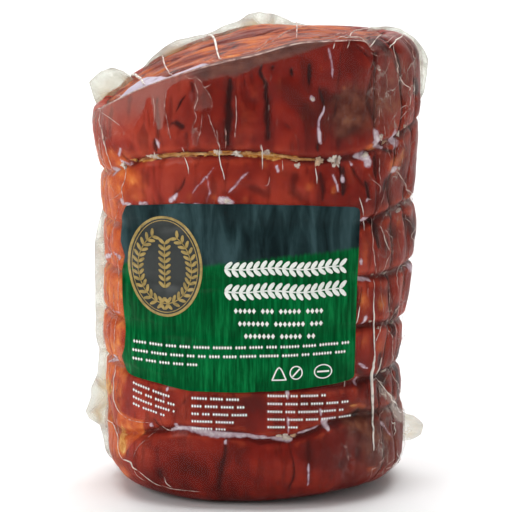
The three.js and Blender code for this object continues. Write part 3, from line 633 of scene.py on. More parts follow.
def veil_field():
    """Where the film hangs off the meat, from 0 to 1. It touches below a half."""
    edge = wall.grid_z - follow(VEIL_EDGE, wall.x)
    soft = lerp(16, 2.5, smooth(wall.x, -62, -54))
    rim = wall.front * smooth(edge, -soft, soft * 0.6) * smooth(rim_height(wall.grid_phi) - wall.grid_z, -3, 1)
    slack = wall.blur(wall.inside(SLACK_PATCH), 0.6) + 0.8 * wall.spot(-25.5, 218.5, 2.2, 1.4)
    slack = slack + 0.45 * wall.spot(-29, 190, 4, 9) + 0.5 * wall.spot(60, 216, 8, 14) + 0.5 * wall.spot(80, 214, 5, 16)
    edges = bell(LOOP_GAP, 2.5) * smooth(np.abs(wall.x + 1), 60, 72) * 0.5
    hidden = (1 - wall.front) * (0.3 + 0.5 * cloud(wall.points, 22, 27, 2))
    return np.clip(np.maximum.reduce([rim, slack, edges, hidden, 1.2 * MILK_BANDS]), 0, 1)


def crumple_field():
    """How crumpled the film is, from 0 to 1: most on the right, some at the left edge and round the back."""
    right = smooth(wall.x, 57, 68)
    left = 0.45 * (1 - smooth(wall.x, -80, -66)) + 0.25 * wall.spot(-74, 190, 10, 12)
    lower = 0.6 * wall.spot(52, 26, 14, 20) + 0.5 * wall.spot(50, 200, 12, 16)
    return np.clip(right + left + lower + 0.55 * (1 - wall.front), 0, 1)


def ridges(points, size, seed):
    """Sharp ridges between dished facets about size millimetres across."""
    return np.clip(1 - np.abs(cloud(points, size, seed, 2)) * 3.2, 0, 1) ** 1.5


MILK_BANDS = np.maximum(wall.strokes(MILK_LINES), wall.blur(wall.inside(MILK_FOLD), 0.5))
# The hanging film grows thin towards its lower edge at the left
THIN = (1 - smooth(wall.grid_z - follow(VEIL_EDGE, wall.x), -8, 12)) * (1 - smooth(wall.x, -62, -54))
THIN = THIN * smooth(wall.grid_z, 168, 178)
# Painted shade: the hanging film is less milky, so darker, right of x -48 to -22
MILK = lerp(1.0, 0.45, smooth(wall.x, -48, -22)) * (1 - 0.8 * THIN)
MILK = np.maximum(MILK, 1.7 * MILK_BANDS)
VEIL = veil_field()
CRUMPLE = crumple_field()
CREASE_LINES = wall.strokes([(0.9, 1, *flat) for _, _, *flat in CREASES])
FAT_SHARE = wall.strokes(FAT_MARKS)
LABEL_PATCH = wall.front * smooth(wall.x, -70, -62) * (1 - smooth(wall.x, 46, 53))
LABEL_PATCH = LABEL_PATCH * smooth(wall.grid_z, 58, 66) * (1 - smooth(wall.grid_z, 150, 157))


def film_relief():
    """How far the film stands off the smooth form. It bridges the cuts and rides over the string."""
    half = 1.6 * STRING_RADIUS
    string = STRING_RADIUS * (2 * np.sqrt(np.clip(1 - (LOOP_GAP / half) ** 2, 0, 1)) - 0.6)
    string = string * (1 - wall.front * (1 - smooth(wall.grid_z, 150, 160)))
    tied = TIED_RIND + string
    under = np.where(LOOP_GAP < half, np.maximum(RIND, tied), RIND)
    bridged = wall.blur(np.maximum(under, wall.blur(under, 2.6)), 1.0)
    film = np.maximum(bridged, under) + FILM_GAP + 0.7 * VEIL + 0.3 * CREASE_LINES
    upright = wall.points * [1.0, 1.0, 0.5]
    film = film + CRUMPLE * (1.1 * ridges(upright, 13, 31) + 0.6 * ridges(upright, 6, 33))
    stretched = np.maximum(wall.blur(film, 4.5), wall.blur(under, 1.2) + 0.35) + 0.25
    film = lerp(film, stretched, LABEL_PATCH)
    return np.maximum(film, under + 0.12)


FILM = film_relief()


def on_wall(field, phi, z, lift=0.0):
    """Points on a field's surface, lifted off it, in millimetres."""
    x, y = section(phi, z)
    radius = np.hypot(x, y)
    foot = foot_radius(phi)
    down = np.clip(1 - z / (foot * FOOT_RISE), 0, 1)
    inset = foot * (1 - np.sqrt(1 - down**2))
    share = (radius + wall.read(field, phi, z) + lift - inset) / radius
    return np.stack([x * share, y * share, lifted(x, z * np.ones_like(x))], axis=-1)


def on_front(field, x, z, lift=0.0):
    """Points of a field's surface that come at x, although its relief carries them outwards."""
    sought = x
    for _ in range(2):
        sought = sought + x - on_wall(field, front_angle(sought, z), z, lift)[..., 0]
    return on_wall(field, front_angle(sought, z), z, lift)


# ---- Meshes


def make_piece(name, points, faces, material, fields=None):
    """A mesh object from points in millimetres, at the origin, with a value for each point of each field."""
    placed = (np.asarray(points, float) - np.array([CENTRE[0], CENTRE[1], 0.0])) * MM
    mesh = bpy.data.meshes.new(name)
    mesh.from_pydata(placed.tolist(), [], np.asarray(faces).tolist() if isinstance(faces, np.ndarray) else faces)
    for label, values in (fields or {}).items():
        attribute = mesh.attributes.new(label, "FLOAT", "POINT")
        attribute.data.foreach_set("value", np.asarray(values, np.float32).ravel())
    mesh.materials.append(material)
    mesh.polygons.foreach_set("use_smooth", np.ones(len(mesh.polygons), bool))
    mesh.update()
    made = bpy.data.objects.new(name, mesh)
    bpy.context.scene.collection.objects.link(made)
    return made


def tube_faces(rows, columns, start=0):
    """Quads between rows of points that go round, the first row lowest, facing outwards."""
    i, j = np.meshgrid(np.arange(rows - 1), np.arange(columns), indexing="ij")
    after = (j + 1) % columns
    a, b = start + i * columns + j, start + i * columns + after
    c, d = start + (i + 1) * columns + after, start + (i + 1) * columns + j
    return np.stack([a, b, c, d], axis=-1).reshape(-1, 4)


def sheet_faces(rows, columns, start=0):
    """Quads of an open sheet of points."""
    i, j = np.meshgrid(np.arange(rows - 1), np.arange(columns - 1), indexing="ij")
    a = start + i * columns + j
    return np.stack([a, a + 1, a + columns + 1, a + columns], axis=-1).reshape(-1, 4)


def fan_faces(ring, centre, turned=False):
    """Triangles from a ring of points to one in its middle."""
    after = np.roll(ring, -1)
    if turned:
        return [(int(b), int(a), int(centre)) for a, b in zip(ring, after)]
    return [(int(a), int(b), int(centre)) for a, b in zip(ring, after)]


def column_angles(count):
    turns = np.linspace(0, TURN, count, endpoint=False)
    return turns - FRONT_CROWDING * np.sin(turns - 0.75 * TURN)


def side_rows(phi, field, foot_rows, wall_rows, rim_rows, lift=0.0):
    """Rows of points from the flat foot up the wall and over the rim, with the height of each on the fields."""
    x, y = section(phi, np.zeros_like(phi))
    foot = foot_radius(phi)
    rim = rim_radius(phi)
    shoulder = rim_height(phi) - rim
    rows, heights = [], []

    def add(z, inset):
        x, y = section(phi, z)
        radius = np.hypot(x, y)
        share = (radius + wall.read(field, phi, z) + lift - inset) / radius
        rows.append(np.stack([x * share, y * share, lifted(x, z)], axis=-1))
        heights.append(z)

    for i in range(foot_rows):
        turn = i / foot_rows * TURN / 4
        add(foot * FOOT_RISE * (1 - np.cos(turn)), foot * (1 - np.sin(turn)))
    for i in range(wall_rows):
        add(lerp(foot * FOOT_RISE, shoulder, i / wall_rows), 0.0 * phi)
    for i in range(rim_rows + 1):
        turn = i / rim_rows * TURN / 4
        add(shoulder + rim * np.sin(turn), rim * (1 - np.cos(turn)))
    return rows, heights


# ---- The upper end, seen from above

# Where the rolled rind meets the flesh, as points of x and y on the upper end
END_GAPS = [
    ([(45, -62), (54, -56), (61, -50), (64, -40)], 1.6),
    ([(61, -52), (66, -30), (70, -5), (74, 18)], 1.6),
    ([(30, -44), (38, -36), (50, -30), (58, -34)], 1.3),
    ([(-40, 2), (-20, -6), (4, -3), (24, 6)], 1.2),
    ([(-10, 30), (10, 24), (34, 28)], 1.2),
]
# Strips of film over the upper end: half the thickness, how white, then x and y of each point
END_CREASES = [
    (0.75, 0.85, -27, 48, -22, 4, -19, -51, -17, -66), (0.5, 0.65, -49, 30, -46, -27, -41, -66),
    (0.9, 0.8, -68, 50, -63, 11, -55, -54), (0.35, 0.6, -70, -24, -66, -57),
    (0.5, 0.5, 21, 24, 21, 1, 20, -60), (0.4, 0.4, 0, -66, 9, -53, 15, -38, 26, -18),
    (0.4, 0.6, 40, -66, 48, -33, 55, -11, 66, 12), (0.4, 0.7, 43, -66, 48, -60, 54, -50, 63, -38),
    (0.3, 0.45, 28, -61, 38, -54, 44, -33), (0.3, 0.4, -6, -66, 2, -60, 8, -43),
]


def plan_stroke(x, y, path, width):
    nearest = np.full(x.shape, 1e9)
    for (x0, y0), (x1, y1) in zip(path, path[1:]):
        dx, dy = x1 - x0, y1 - y0
        t = np.clip(((x - x0) * dx + (y - y0) * dy) / (dx * dx + dy * dy), 0, 1)
        nearest = np.minimum(nearest, np.hypot(x - x0 - t * dx, y - y0 - t * dy))
    return bell(nearest, width)


def end_base(x, y, share, rim_gap):
    crown = END_CROWN * (1 - share**2)
    inside = 1 - smooth(share, 0.86, 0.955)
    return end_height(x, y) + rim_gap * share**6 + inside * (crown - END_RECESS)


def fat_band(x, y, share):
    """Set fat along the front left rim of the upper end, which stands up a little."""
    inner = lerp(0.77, 0.88, smooth(x, -62, -20)) + 0.03 * cloud(np.stack([x, y, 0 * x], axis=-1), 7, 83, 2)
    return smooth(share - inner, 0, 0.03) * (1 - smooth(x, -32, -6)) * (1 - smooth(y, -25, 0))


def flesh_fields(x, y, share, settings):
    """Height of torn fibres that run across the end, and how deep in a gap each point is."""
    points = np.stack([x / 7.0, y, y * 0.0 + 40], axis=-1)
    fibres = cloud(points, 4.2, 41, 3)
    crag = np.sin(y / 6.5 + np.sin(x / 17)) + 0.5 * np.sin(y / 3.7 + x / 25 + 1)
    lumps = cloud(np.stack([x / 2.0, y, y * 0.0], axis=-1), 11, 43, 2)
    gaps = np.clip(sum(plan_stroke(x, y, path, width) for path, width in END_GAPS), 0, 1)
    inside = 1 - smooth(share, 0.88, 0.95)
    height = inside * (0.9 * crag + settings.fibre_height / MM * fibres + 1.1 * lumps - 2.6 * gaps)
    height = height + FAT_RISE * fat_band(x, y, share) * inside
    return height, gaps


# ---- Materials

LAYER = {"data_type": "RGBA"}
SOFT = {"interpolation_type": "SMOOTHSTEP"}
TIMES = {"operation": "MULTIPLY", "use_clamp": True}
PLUS = {"operation": "ADD", "use_clamp": True}
TIMES_PLUS = {"operation": "MULTIPLY_ADD"}


def linear(hex_text):
    """A colour written as sRGB hex, in the linear values that shaders take."""
    parts = [int(hex_text[i : i + 2], 16) / 255 for i in (1, 3, 5)]
    return [v / 12.92 if v <= 0.04045 else ((v + 0.055) / 1.055) ** 2.4 for v in parts] + [1.0]


def per_size(millimetres):
    """A texture scale whose pattern repeats at a real size."""
    return 1000 / millimetres


def plain(value):
    return linear(value) if isinstance(value, str) and value.startswith("#") else value


def add(tree, kind, settings=None, inputs=None):
    """Adds a node with its settings, and with values or links for its inputs.

    A colour may be a hex text. A node as an input stands for its first output in use. The setting "stops"
    holds the places and colours of a ramp.
    """
    made = tree.nodes.new(kind)
    for name, value in (settings or {}).items():
        if name != "stops":
            setattr(made, name, value)
            continue
        elements = made.color_ramp.elements
        while len(elements) < len(value):
            elements.new(0.5)
        for element, (place, colour) in zip(elements, value):
            element.position = place
            element.color = plain(colour)
    for name, value in (inputs or {}).items():
        if isinstance(value, bpy.types.Node):
            value = next(socket for socket in value.outputs if socket.enabled)
        if isinstance(value, bpy.types.NodeSocket):
            tree.links.new(value, made.inputs[name])
        else:
            made.inputs[name].default_value = plain(value)
    return made


def new_material(name, *fields):
    """A blank material and its tree, the place on the piece, and the fields of the piece that it reads."""
    material = bpy.data.materials.new(name)
    material.use_nodes = True
    tree = material.node_tree
    tree.nodes.clear()
    place = add(tree, "ShaderNodeTexCoord").outputs["Object"]
    read = [add(tree, "ShaderNodeAttribute", {"attribute_name": field}).outputs["Fac"] for field in fields]
    return material, tree, place, *read


def worn(tree, field, grain, low, high, most=1.0):
    """How much of a layer shows where a field is strong, with an edge that the grain makes uneven."""
    uneven = add(tree, "ShaderNodeMath", TIMES_PLUS, {0: grain, 1: 0.6, 2: field})
    return add(tree, "ShaderNodeMapRange", SOFT, {
        "Value": uneven, "From Min": low, "From Max": high, "To Max": most})


def roast_rind(settings):
    """Pork rind, roasted in its own juice and moist in the bag: mottled dark red, orange where fat shines through,
    with open pores. Painted shade turns it brown in broad hollows and down the right side, darkens its small hollows
    and makes it nearly black in the cuts; a painted highlight lightens its crests."""
    material, tree, place, shade, lie, orange, brown, cut, gel, fat = new_material(
        "roast_pork_rind", "shade", "lie", "orange", "brown", "cut", "yellow", "fat")
    mottle = add(tree, "ShaderNodeTexNoise", None, {
        "Vector": place, "Scale": per_size(26), "Detail": 7.0, "Roughness": 0.6, "Distortion": 0.6})
    patches = add(tree, "ShaderNodeTexNoise", None, {
        "Vector": place, "Scale": per_size(9), "Detail": 4.0, "Roughness": 0.6})
    fine = add(tree, "ShaderNodeTexNoise", None, {
        "Vector": place, "Scale": per_size(2.6), "Detail": 5.0, "Roughness": 0.65, "Distortion": 0.6})
    drawn = add(tree, "ShaderNodeMapping", None, {"Vector": place, "Scale": (1.0, 1.0, 0.2)})
    streaks = add(tree, "ShaderNodeTexNoise", None, {
        "Vector": drawn, "Scale": per_size(4.5), "Detail": 5.0, "Roughness": 0.6, "Distortion": 0.3})
    bright = add(tree, "ShaderNodeValToRGB", {"stops": [
        (0.30, "#761e15"), (0.45, "#962d1f"), (0.56, "#a73d2a"), (0.72, "#b7533d")]}, {"Fac": mottle})
    deep = add(tree, "ShaderNodeValToRGB", {"stops": [
        (0.30, "#4c110b"), (0.45, "#66160e"), (0.56, settings.rind_colour[:]), (0.72, "#8f2817")]}, {"Fac": mottle})
    skin = add(tree, "ShaderNodeMix", LAYER, {0: shade, 6: bright, 7: deep})
    # The skin drew together in upright streaks. Painted shade darkens its hollows and a painted highlight lightens its
    # crests
    streak = add(tree, "ShaderNodeMapRange", SOFT, {
        "Value": streaks, "From Min": 0.5, "From Max": 0.62, "To Max": 0.5})
    skin = add(tree, "ShaderNodeMix", LAYER, {0: streak, 6: skin, 7: "#4e110b"})
    level = add(tree, "ShaderNodeMath", TIMES_PLUS, {0: fine, 1: 0.4, 2: lie})
    hollow = add(tree, "ShaderNodeMapRange", SOFT, {
        "Value": level, "From Min": 0.34, "From Max": 0.66, "To Min": 0.7, "To Max": 0.0})
    skin = add(tree, "ShaderNodeMix", LAYER, {0: hollow, 6: skin, 7: "#450e0a"})
    crest_highlight = add(tree, "ShaderNodeMapRange", SOFT, {
        "Value": level, "From Min": 0.74, "From Max": 1.0, "To Max": 0.4})
    skin = add(tree, "ShaderNodeMix", LAYER, {0: crest_highlight, 6: skin, 7: "#b8482c"})
    glow = add(tree, "ShaderNodeValToRGB", {"stops": [
        (0.32, "#a83c1a"), (0.52, settings.fat_glow_colour[:]), (0.70, "#de8a48")]}, {"Fac": patches})
    share = worn(tree, orange, patches, 0.55, 1.15, 0.95)
    skin = add(tree, "ShaderNodeMix", LAYER, {0: share, 6: skin, 7: glow})
    # Painted shade, brown, in broad hollows and down the right side
    shaded_brown = add(tree, "ShaderNodeValToRGB", {"stops": [
        (0.3, "#351410"), (0.46, "#50251b"), (0.58, "#6a3a2a"), (0.72, "#84543a")]}, {"Fac": patches})
    share = worn(tree, brown, patches, 0.4, 1.1, 0.9)
    skin = add(tree, "ShaderNodeMix", LAYER, {0: share, 6: skin, 7: shaded_brown})
    share = worn(tree, gel, fine, 0.5, 0.9)
    amber = add(tree, "ShaderNodeValToRGB", {"stops": [
        (0.35, "#a85a24"), (0.5, "#c9883f"), (0.65, "#dcae6c")]}, {"Fac": fine})
    skin = add(tree, "ShaderNodeMix", LAYER, {0: share, 6: skin, 7: amber})
    # Painted shade, nearly black, in the cuts and hollows
    share = worn(tree, cut, fine, 0.5, 1.1, 0.95)
    skin = add(tree, "ShaderNodeMix", LAYER, {0: share, 6: skin, 7: "#2a0e0c"})
    share = worn(tree, fat, fine, 0.5, 0.9)
    thick = add(tree, "ShaderNodeMath", TIMES_PLUS, {0: fat, 1: 0.45, 2: fine})
    white = add(tree, "ShaderNodeValToRGB", {"stops": [
        (0.6, "#a27f89"), (0.82, "#c6b2bb"), (1.0, "#e6e0e2")]}, {"Fac": thick})
    share = add(tree, "ShaderNodeMath", TIMES, {0: share, 1: 0.92})
    skin = add(tree, "ShaderNodeMix", LAYER, {0: share, 6: skin, 7: white})
    pores = add(tree, "ShaderNodeTexVoronoi", {"feature": "SMOOTH_F1"}, {
        "Vector": place, "Scale": per_size(2.4), "Smoothness": 0.6})
    grain = add(tree, "ShaderNodeMath", {"operation": "ADD"}, {0: pores, 1: patches})
    bump = add(tree, "ShaderNodeBump", None, {"Strength": 0.2, "Distance": 0.0006, "Height": grain})
    sheen = add(tree, "ShaderNodeMapRange", None, {
        "Value": patches, "From Min": 0.3, "From Max": 0.7, "To Min": 0.34, "To Max": 0.58})
    surface = add(tree, "ShaderNodeBsdfPrincipled", None, {
        "Base Color": skin, "Roughness": sheen, "Specular IOR Level": 0.06, "Normal": bump})
    add(tree, "ShaderNodeOutputMaterial", None, {"Surface": surface})
    return material


def roast_flesh(settings):
    """Roast pork torn along its fibres: orange to brown strands across the end, dark between them, with set fat at the
    rim.
    Painted shade darkens the gaps where rind meets flesh and its edge by the rim."""
    material, tree, place, fat, cut = new_material("roast_pork_flesh", "fat", "cut")
    along = add(tree, "ShaderNodeMapping", None, {"Vector": place, "Scale": (0.2, 1.0, 1.0)})
    strands = add(tree, "ShaderNodeTexNoise", None, {
        "Vector": along, "Scale": per_size(5), "Detail": 7.0, "Roughness": 0.7, "Distortion": 1.2})
    bands = add(tree, "ShaderNodeTexNoise", None, {
        "Vector": along, "Scale": per_size(17), "Detail": 4.0, "Roughness": 0.6, "Distortion": 0.6})
    meat = add(tree, "ShaderNodeValToRGB", {"stops": [
        (0.35, "#2a0a06"), (0.43, "#66190c"), (0.51, settings.flesh_colour[:]), (0.6, "#b85f1d"),
        (0.74, "#c98237")]}, {"Fac": strands})
    share = add(tree, "ShaderNodeMapRange", SOFT, {
        "Value": bands, "From Min": 0.47, "From Max": 0.6, "To Max": 0.8})
    meat = add(tree, "ShaderNodeMix", LAYER, {0: share, 6: meat, 7: "#661a10"})
    share = worn(tree, fat, strands, 0.98, 1.24)
    meat = add(tree, "ShaderNodeMix", LAYER, {0: share, 6: meat, 7: "#bdb4c4"})
    meat = add(tree, "ShaderNodeMix", LAYER, {0: cut, 6: meat, 7: "#2c0e09"})
    bump = add(tree, "ShaderNodeBump", None, {"Strength": 0.6, "Distance": 0.001, "Height": strands})
    sheen = add(tree, "ShaderNodeMapRange", None, {
        "Value": strands, "From Min": 0.3, "From Max": 0.7, "To Min": 0.3, "To Max": 0.55})
    surface = add(tree, "ShaderNodeBsdfPrincipled", None, {
        "Base Color": meat, "Roughness": sheen, "Specular IOR Level": 0.06, "Normal": bump})
    add(tree, "ShaderNodeOutputMaterial", None, {"Surface": surface})
    return material


def soaked_string(settings):
    """Cotton butcher's string of three plies, soaked yellow brown by gel and fat."""
    material, tree, place = new_material("soaked_cotton_string")
    soak = add(tree, "ShaderNodeTexNoise", None, {"Vector": place, "Scale": per_size(7), "Detail": 4.0})
    colour = add(tree, "ShaderNodeValToRGB", {"stops": [
        (0.34, "#85431e"), (0.5, settings.string_colour[:]), (0.68, "#dcb680")]}, {"Fac": soak})
    fuzz = add(tree, "ShaderNodeTexNoise", None, {"Vector": place, "Scale": per_size(0.5), "Detail": 2.0})
    bump = add(tree, "ShaderNodeBump", None, {"Strength": 0.4, "Distance": 0.0002, "Height": fuzz})
    dull = add(tree, "ShaderNodeMapRange", None, {
        "Value": soak, "From Min": 0.3, "From Max": 0.7, "To Min": 0.4, "To Max": 0.75})
    surface = add(tree, "ShaderNodeBsdfPrincipled", None, {
        "Base Color": colour, "Roughness": dull, "IOR": 1.45, "Normal": bump})
    add(tree, "ShaderNodeOutputMaterial", None, {"Surface": surface})
    return material


def set_fat(settings):
    """Pork fat, set white to yellow and waxy where it ran out along the string."""
    material, tree, place, gel = new_material("set_pork_fat", "yellow")
    marble = add(tree, "ShaderNodeTexNoise", None, {
        "Vector": place, "Scale": per_size(3), "Detail": 5.0, "Roughness": 0.65})
    white = add(tree, "ShaderNodeValToRGB", {"stops": [
        (0.36, "#9d8070"), (0.47, settings.fat_colour[:]), (0.64, "#e2dbcd")]}, {"Fac": marble})
    share = worn(tree, gel, marble, 0.45, 1.1)
    colour = add(tree, "ShaderNodeMix", LAYER, {0: share, 6: white, 7: "#cc9448"})
    bump = add(tree, "ShaderNodeBump", None, {"Strength": 0.5, "Distance": 0.0005, "Height": marble})
    dull = add(tree, "ShaderNodeMapRange", None, {
        "Value": marble, "From Min": 0.3, "From Max": 0.7, "To Min": 0.32, "To Max": 0.5})
    surface = add(tree, "ShaderNodeBsdfPrincipled", None, {
        "Base Color": colour, "Roughness": dull, "IOR": 1.44, "Normal": bump})
    add(tree, "ShaderNodeOutputMaterial", None, {"Surface": surface})
    return material


def shrink_film(settings):
    """Clear polyethylene shrink film, drawn tight: hardly seen where it lies on the meat, milky and pinkish
    where it hangs off it, with a pale line round each place where it touches and facets where it is crumpled."""
    material, tree, place, veil, crumple, milk = new_material("clear_shrink_film", "veil", "crumple", "milk")
    clouds = add(tree, "ShaderNodeTexNoise", None, {
        "Vector": place, "Scale": per_size(8), "Detail": 6.0, "Roughness": 0.6, "Distortion": 0.4})
    wobble = add(tree, "ShaderNodeTexNoise", None, {
        "Vector": place, "Scale": per_size(3.5), "Detail": 5.0, "Roughness": 0.6})
    slack = add(tree, "ShaderNodeMath", TIMES_PLUS, {0: wobble, 1: 0.5, 2: veil})
    hanging = add(tree, "ShaderNodeMapRange", SOFT, {"Value": slack, "From Min": 0.6, "From Max": 0.9})
    off_edge = add(tree, "ShaderNodeMath", {"operation": "SUBTRACT"}, {0: slack, 1: 0.64})
    off_edge = add(tree, "ShaderNodeMath", {"operation": "ABSOLUTE"}, {0: off_edge})
    touch = add(tree, "ShaderNodeMapRange", SOFT, {"Value": off_edge, "From Max": 0.05, "To Min": 0.25, "To Max": 0.0})
    broken = add(tree, "ShaderNodeTexNoise", None, {"Vector": place, "Scale": per_size(14), "Detail": 2.0})
    broken = add(tree, "ShaderNodeMapRange", None, {"Value": broken, "From Min": 0.42, "From Max": 0.58})
    touch = add(tree, "ShaderNodeMath", TIMES, {0: touch, 1: broken})
    bent = add(tree, "ShaderNodeVectorMath", TIMES_PLUS, {
        0: clouds.outputs["Color"], 1: (0.006, 0.006, 0.006), 2: place})
    upright = add(tree, "ShaderNodeMapping", None, {"Vector": bent, "Scale": (1.0, 1.0, 0.45)})
    facet = add(tree, "ShaderNodeTexVoronoi", None, {"Vector": upright, "Scale": per_size(9)})
    facet = add(tree, "ShaderNodeSeparateColor", None, {0: facet.outputs["Color"]})
    fold = add(tree, "ShaderNodeTexVoronoi", {"feature": "DISTANCE_TO_EDGE"}, {
        "Vector": upright, "Scale": per_size(6)})
    fold = add(tree, "ShaderNodeMapRange", SOFT, {"Value": fold, "From Max": 0.035, "To Min": 0.4, "To Max": 0.0})
    fold = add(tree, "ShaderNodeMath", TIMES, {0: fold, 1: broken})
    crumpled = add(tree, "ShaderNodeMath", TIMES_PLUS, {0: facet, 1: 0.13, 2: fold})
    crumpled = add(tree, "ShaderNodeMath", TIMES, {0: crumpled, 1: crumple})
    milky = add(tree, "ShaderNodeMath", TIMES_PLUS, {0: hanging, 1: milk, 2: 0.0})
    milky = add(tree, "ShaderNodeMath", TIMES_PLUS, {0: milky, 1: settings.haze, 2: crumpled})
    pale = add(tree, "ShaderNodeMath", PLUS, {0: milky, 1: touch})
    whiteness = add(tree, "ShaderNodeMapRange", None, {"Value": pale, "From Min": 0.12, "From Max": 0.6})
    colour = add(tree, "ShaderNodeMix", LAYER, {0: whiteness, 6: settings.veil_colour[:], 7: "#ddd0c2"})
    bump = add(tree, "ShaderNodeBump", None, {"Strength": 0.25, "Distance": 0.0006, "Height": clouds})
    clear = add(tree, "ShaderNodeBsdfTransparent", None, {"Color": (1, 1, 1, 1)})
    gloss = add(tree, "ShaderNodeBsdfGlossy", None, {"Color": (1, 1, 1, 1), "Roughness": 0.2, "Normal": bump})
    sheet = add(tree, "ShaderNodeMixShader", None, {0: 0.007, 1: clear, 2: gloss})
    milky = add(tree, "ShaderNodeBsdfPrincipled", None, {
        "Base Color": colour, "Roughness": 0.4, "Specular IOR Level": 0.3, "Normal": bump})
    whole = add(tree, "ShaderNodeMixShader", None, {0: pale, 1: sheet, 2: milky})
    add(tree, "ShaderNodeOutputMaterial", None, {"Surface": whole})
    return material


def loose_film(settings):
    """The same film, doubled and crumpled where it stands off the roll: milky and see-through, whiter at
    folds, yellowed by fat near the meat."""
    material, tree, place, fold, near = new_material("crumpled_double_film", "fold", "near")
    clouds = add(tree, "ShaderNodeTexNoise", None, {
        "Vector": place, "Scale": per_size(12), "Detail": 4.0, "Roughness": 0.5, "Distortion": 0.4})
    amount = add(tree, "ShaderNodeMapRange", None, {
        "Value": clouds, "From Min": 0.35, "From Max": 0.65, "To Min": 0.08, "To Max": 0.28})
    amount = add(tree, "ShaderNodeMath", TIMES_PLUS, {0: fold, 1: 0.3, 2: amount})
    amount = add(tree, "ShaderNodeMath", TIMES_PLUS, {0: near, 1: 0.12, 2: amount})
    colour = add(tree, "ShaderNodeMix", LAYER, {0: near, 6: settings.milky_colour[:], 7: "#dcc074"})
    bump = add(tree, "ShaderNodeBump", None, {"Strength": 0.4, "Distance": 0.0008, "Height": clouds})
    clear = add(tree, "ShaderNodeBsdfTransparent", None, {"Color": (0.83, 0.84, 0.805, 1)})
    gloss = add(tree, "ShaderNodeBsdfGlossy", None, {"Color": (1, 1, 1, 1), "Roughness": 0.2, "Normal": bump})
    sheet = add(tree, "ShaderNodeMixShader", None, {0: 0.04, 1: clear, 2: gloss})
    milky = add(tree, "ShaderNodeBsdfPrincipled", None, {
        "Base Color": colour, "Roughness": 0.4, "Specular IOR Level": 0.3, "Normal": bump})
    whole = add(tree, "ShaderNodeMixShader", None, {0: amount, 1: sheet, 2: milky})
    add(tree, "ShaderNodeOutputMaterial", None, {"Surface": whole})
    return material


def film_crease(settings):
    """A sharp fold of the film, seen edge on: a thin line, from the pink of the veil to the white of fat. Its paleness
    is partly the film seen edge on and partly a painted highlight.
    """
    material, tree, place, tone = new_material("film_fold", "tone")
    uneven = add(tree, "ShaderNodeTexNoise", None, {"Vector": place, "Scale": per_size(3), "Detail": 4.0})
    strength = add(tree, "ShaderNodeMath", TIMES_PLUS, {0: uneven, 1: 0.5, 2: tone})
    colour = add(tree, "ShaderNodeValToRGB", {"stops": [
        (0.2, "#8e5a54"), (0.5, "#bb8a7d"), (0.8, "#d6bfb4"), (1.0, "#e6e0d6")]}, {"Fac": strength})
    ragged = add(tree, "ShaderNodeMapRange", SOFT, {
        "Value": uneven, "From Min": 0.34, "From Max": 0.6, "To Min": -0.15, "To Max": 0.6})
    amount = add(tree, "ShaderNodeMath", {**TIMES_PLUS, "use_clamp": True}, {0: tone, 1: 0.75, 2: ragged})
    clear = add(tree, "ShaderNodeBsdfTransparent", None, {"Color": (1, 1, 1, 1)})
    edge = add(tree, "ShaderNodeBsdfPrincipled", None, {
        "Base Color": colour, "Roughness": 0.35, "Specular IOR Level": 0.3})
    whole = add(tree, "ShaderNodeMixShader", None, {0: amount, 1: clear, 2: edge})
    add(tree, "ShaderNodeOutputMaterial", None, {"Surface": whole})
    return material


def field_ink(settings):
    """Printing ink under glossy film: slate above, green below, with a soft border and fine upright streaks."""
    material, tree, place, green_at = new_material("slate_and_green_ink", "green")
    drawn = add(tree, "ShaderNodeMapping", None, {"Vector": place, "Scale": (1.0, 0.2, 0.07)})
    streaks = add(tree, "ShaderNodeTexNoise", None, {
        "Vector": drawn, "Scale": per_size(1.6), "Detail": 4.0, "Roughness": 0.6})
    broad = add(tree, "ShaderNodeTexNoise", None, {
        "Vector": place, "Scale": per_size(30), "Detail": 3.0, "Roughness": 0.55})
    green = add(tree, "ShaderNodeValToRGB", {"stops": [
        (0.34, "#003f1c"), (0.5, settings.green_colour[:]), (0.68, "#0b7c40")]}, {"Fac": streaks})
    shade = add(tree, "ShaderNodeMapRange", None, {"Value": broad, "From Min": 0.35, "From Max": 0.65, "To Max": 0.5})
    green = add(tree, "ShaderNodeMix", LAYER, {0: shade, 6: green, 7: "#003a1a"})
    # Upright streaks of painted light and shade on the slate stand for folds of the film over it
    fold_light_place = add(tree, "ShaderNodeMapping", None, {"Vector": place, "Scale": (1.0, 0.2, 0.22)})
    fold_light = add(tree, "ShaderNodeTexNoise", None, {
        "Vector": fold_light_place, "Scale": per_size(8), "Detail": 4.0, "Roughness": 0.55, "Distortion": 0.5})
    slate = add(tree, "ShaderNodeValToRGB", {"stops": [
        (0.36, "#111e20"), (0.5, settings.slate_colour[:]), (0.66, "#354c4f")]}, {"Fac": fold_light})
    border = add(tree, "ShaderNodeMath", TIMES_PLUS, {0: streaks, 1: 0.5, 2: green_at})
    border = add(tree, "ShaderNodeMapRange", SOFT, {"Value": border, "From Min": 0.55, "From Max": 0.95})
    colour = add(tree, "ShaderNodeMix", LAYER, {0: border, 6: slate, 7: green})
    pucker = add(tree, "ShaderNodeTexNoise", None, {
        "Vector": place, "Scale": per_size(9), "Detail": 4.0, "Distortion": 0.8})
    bump = add(tree, "ShaderNodeBump", None, {"Strength": 0.3, "Distance": 0.0008, "Height": pucker})
    gloss = add(tree, "ShaderNodeMapRange", None, {
        "Value": pucker, "From Min": 0.3, "From Max": 0.7, "To Min": 0.24, "To Max": 0.4})
    surface = add(tree, "ShaderNodeBsdfPrincipled", None, {
        "Base Color": colour, "Roughness": gloss, "Specular IOR Level": 0.03, "Normal": bump})
    add(tree, "ShaderNodeOutputMaterial", None, {"Surface": surface})
    return material


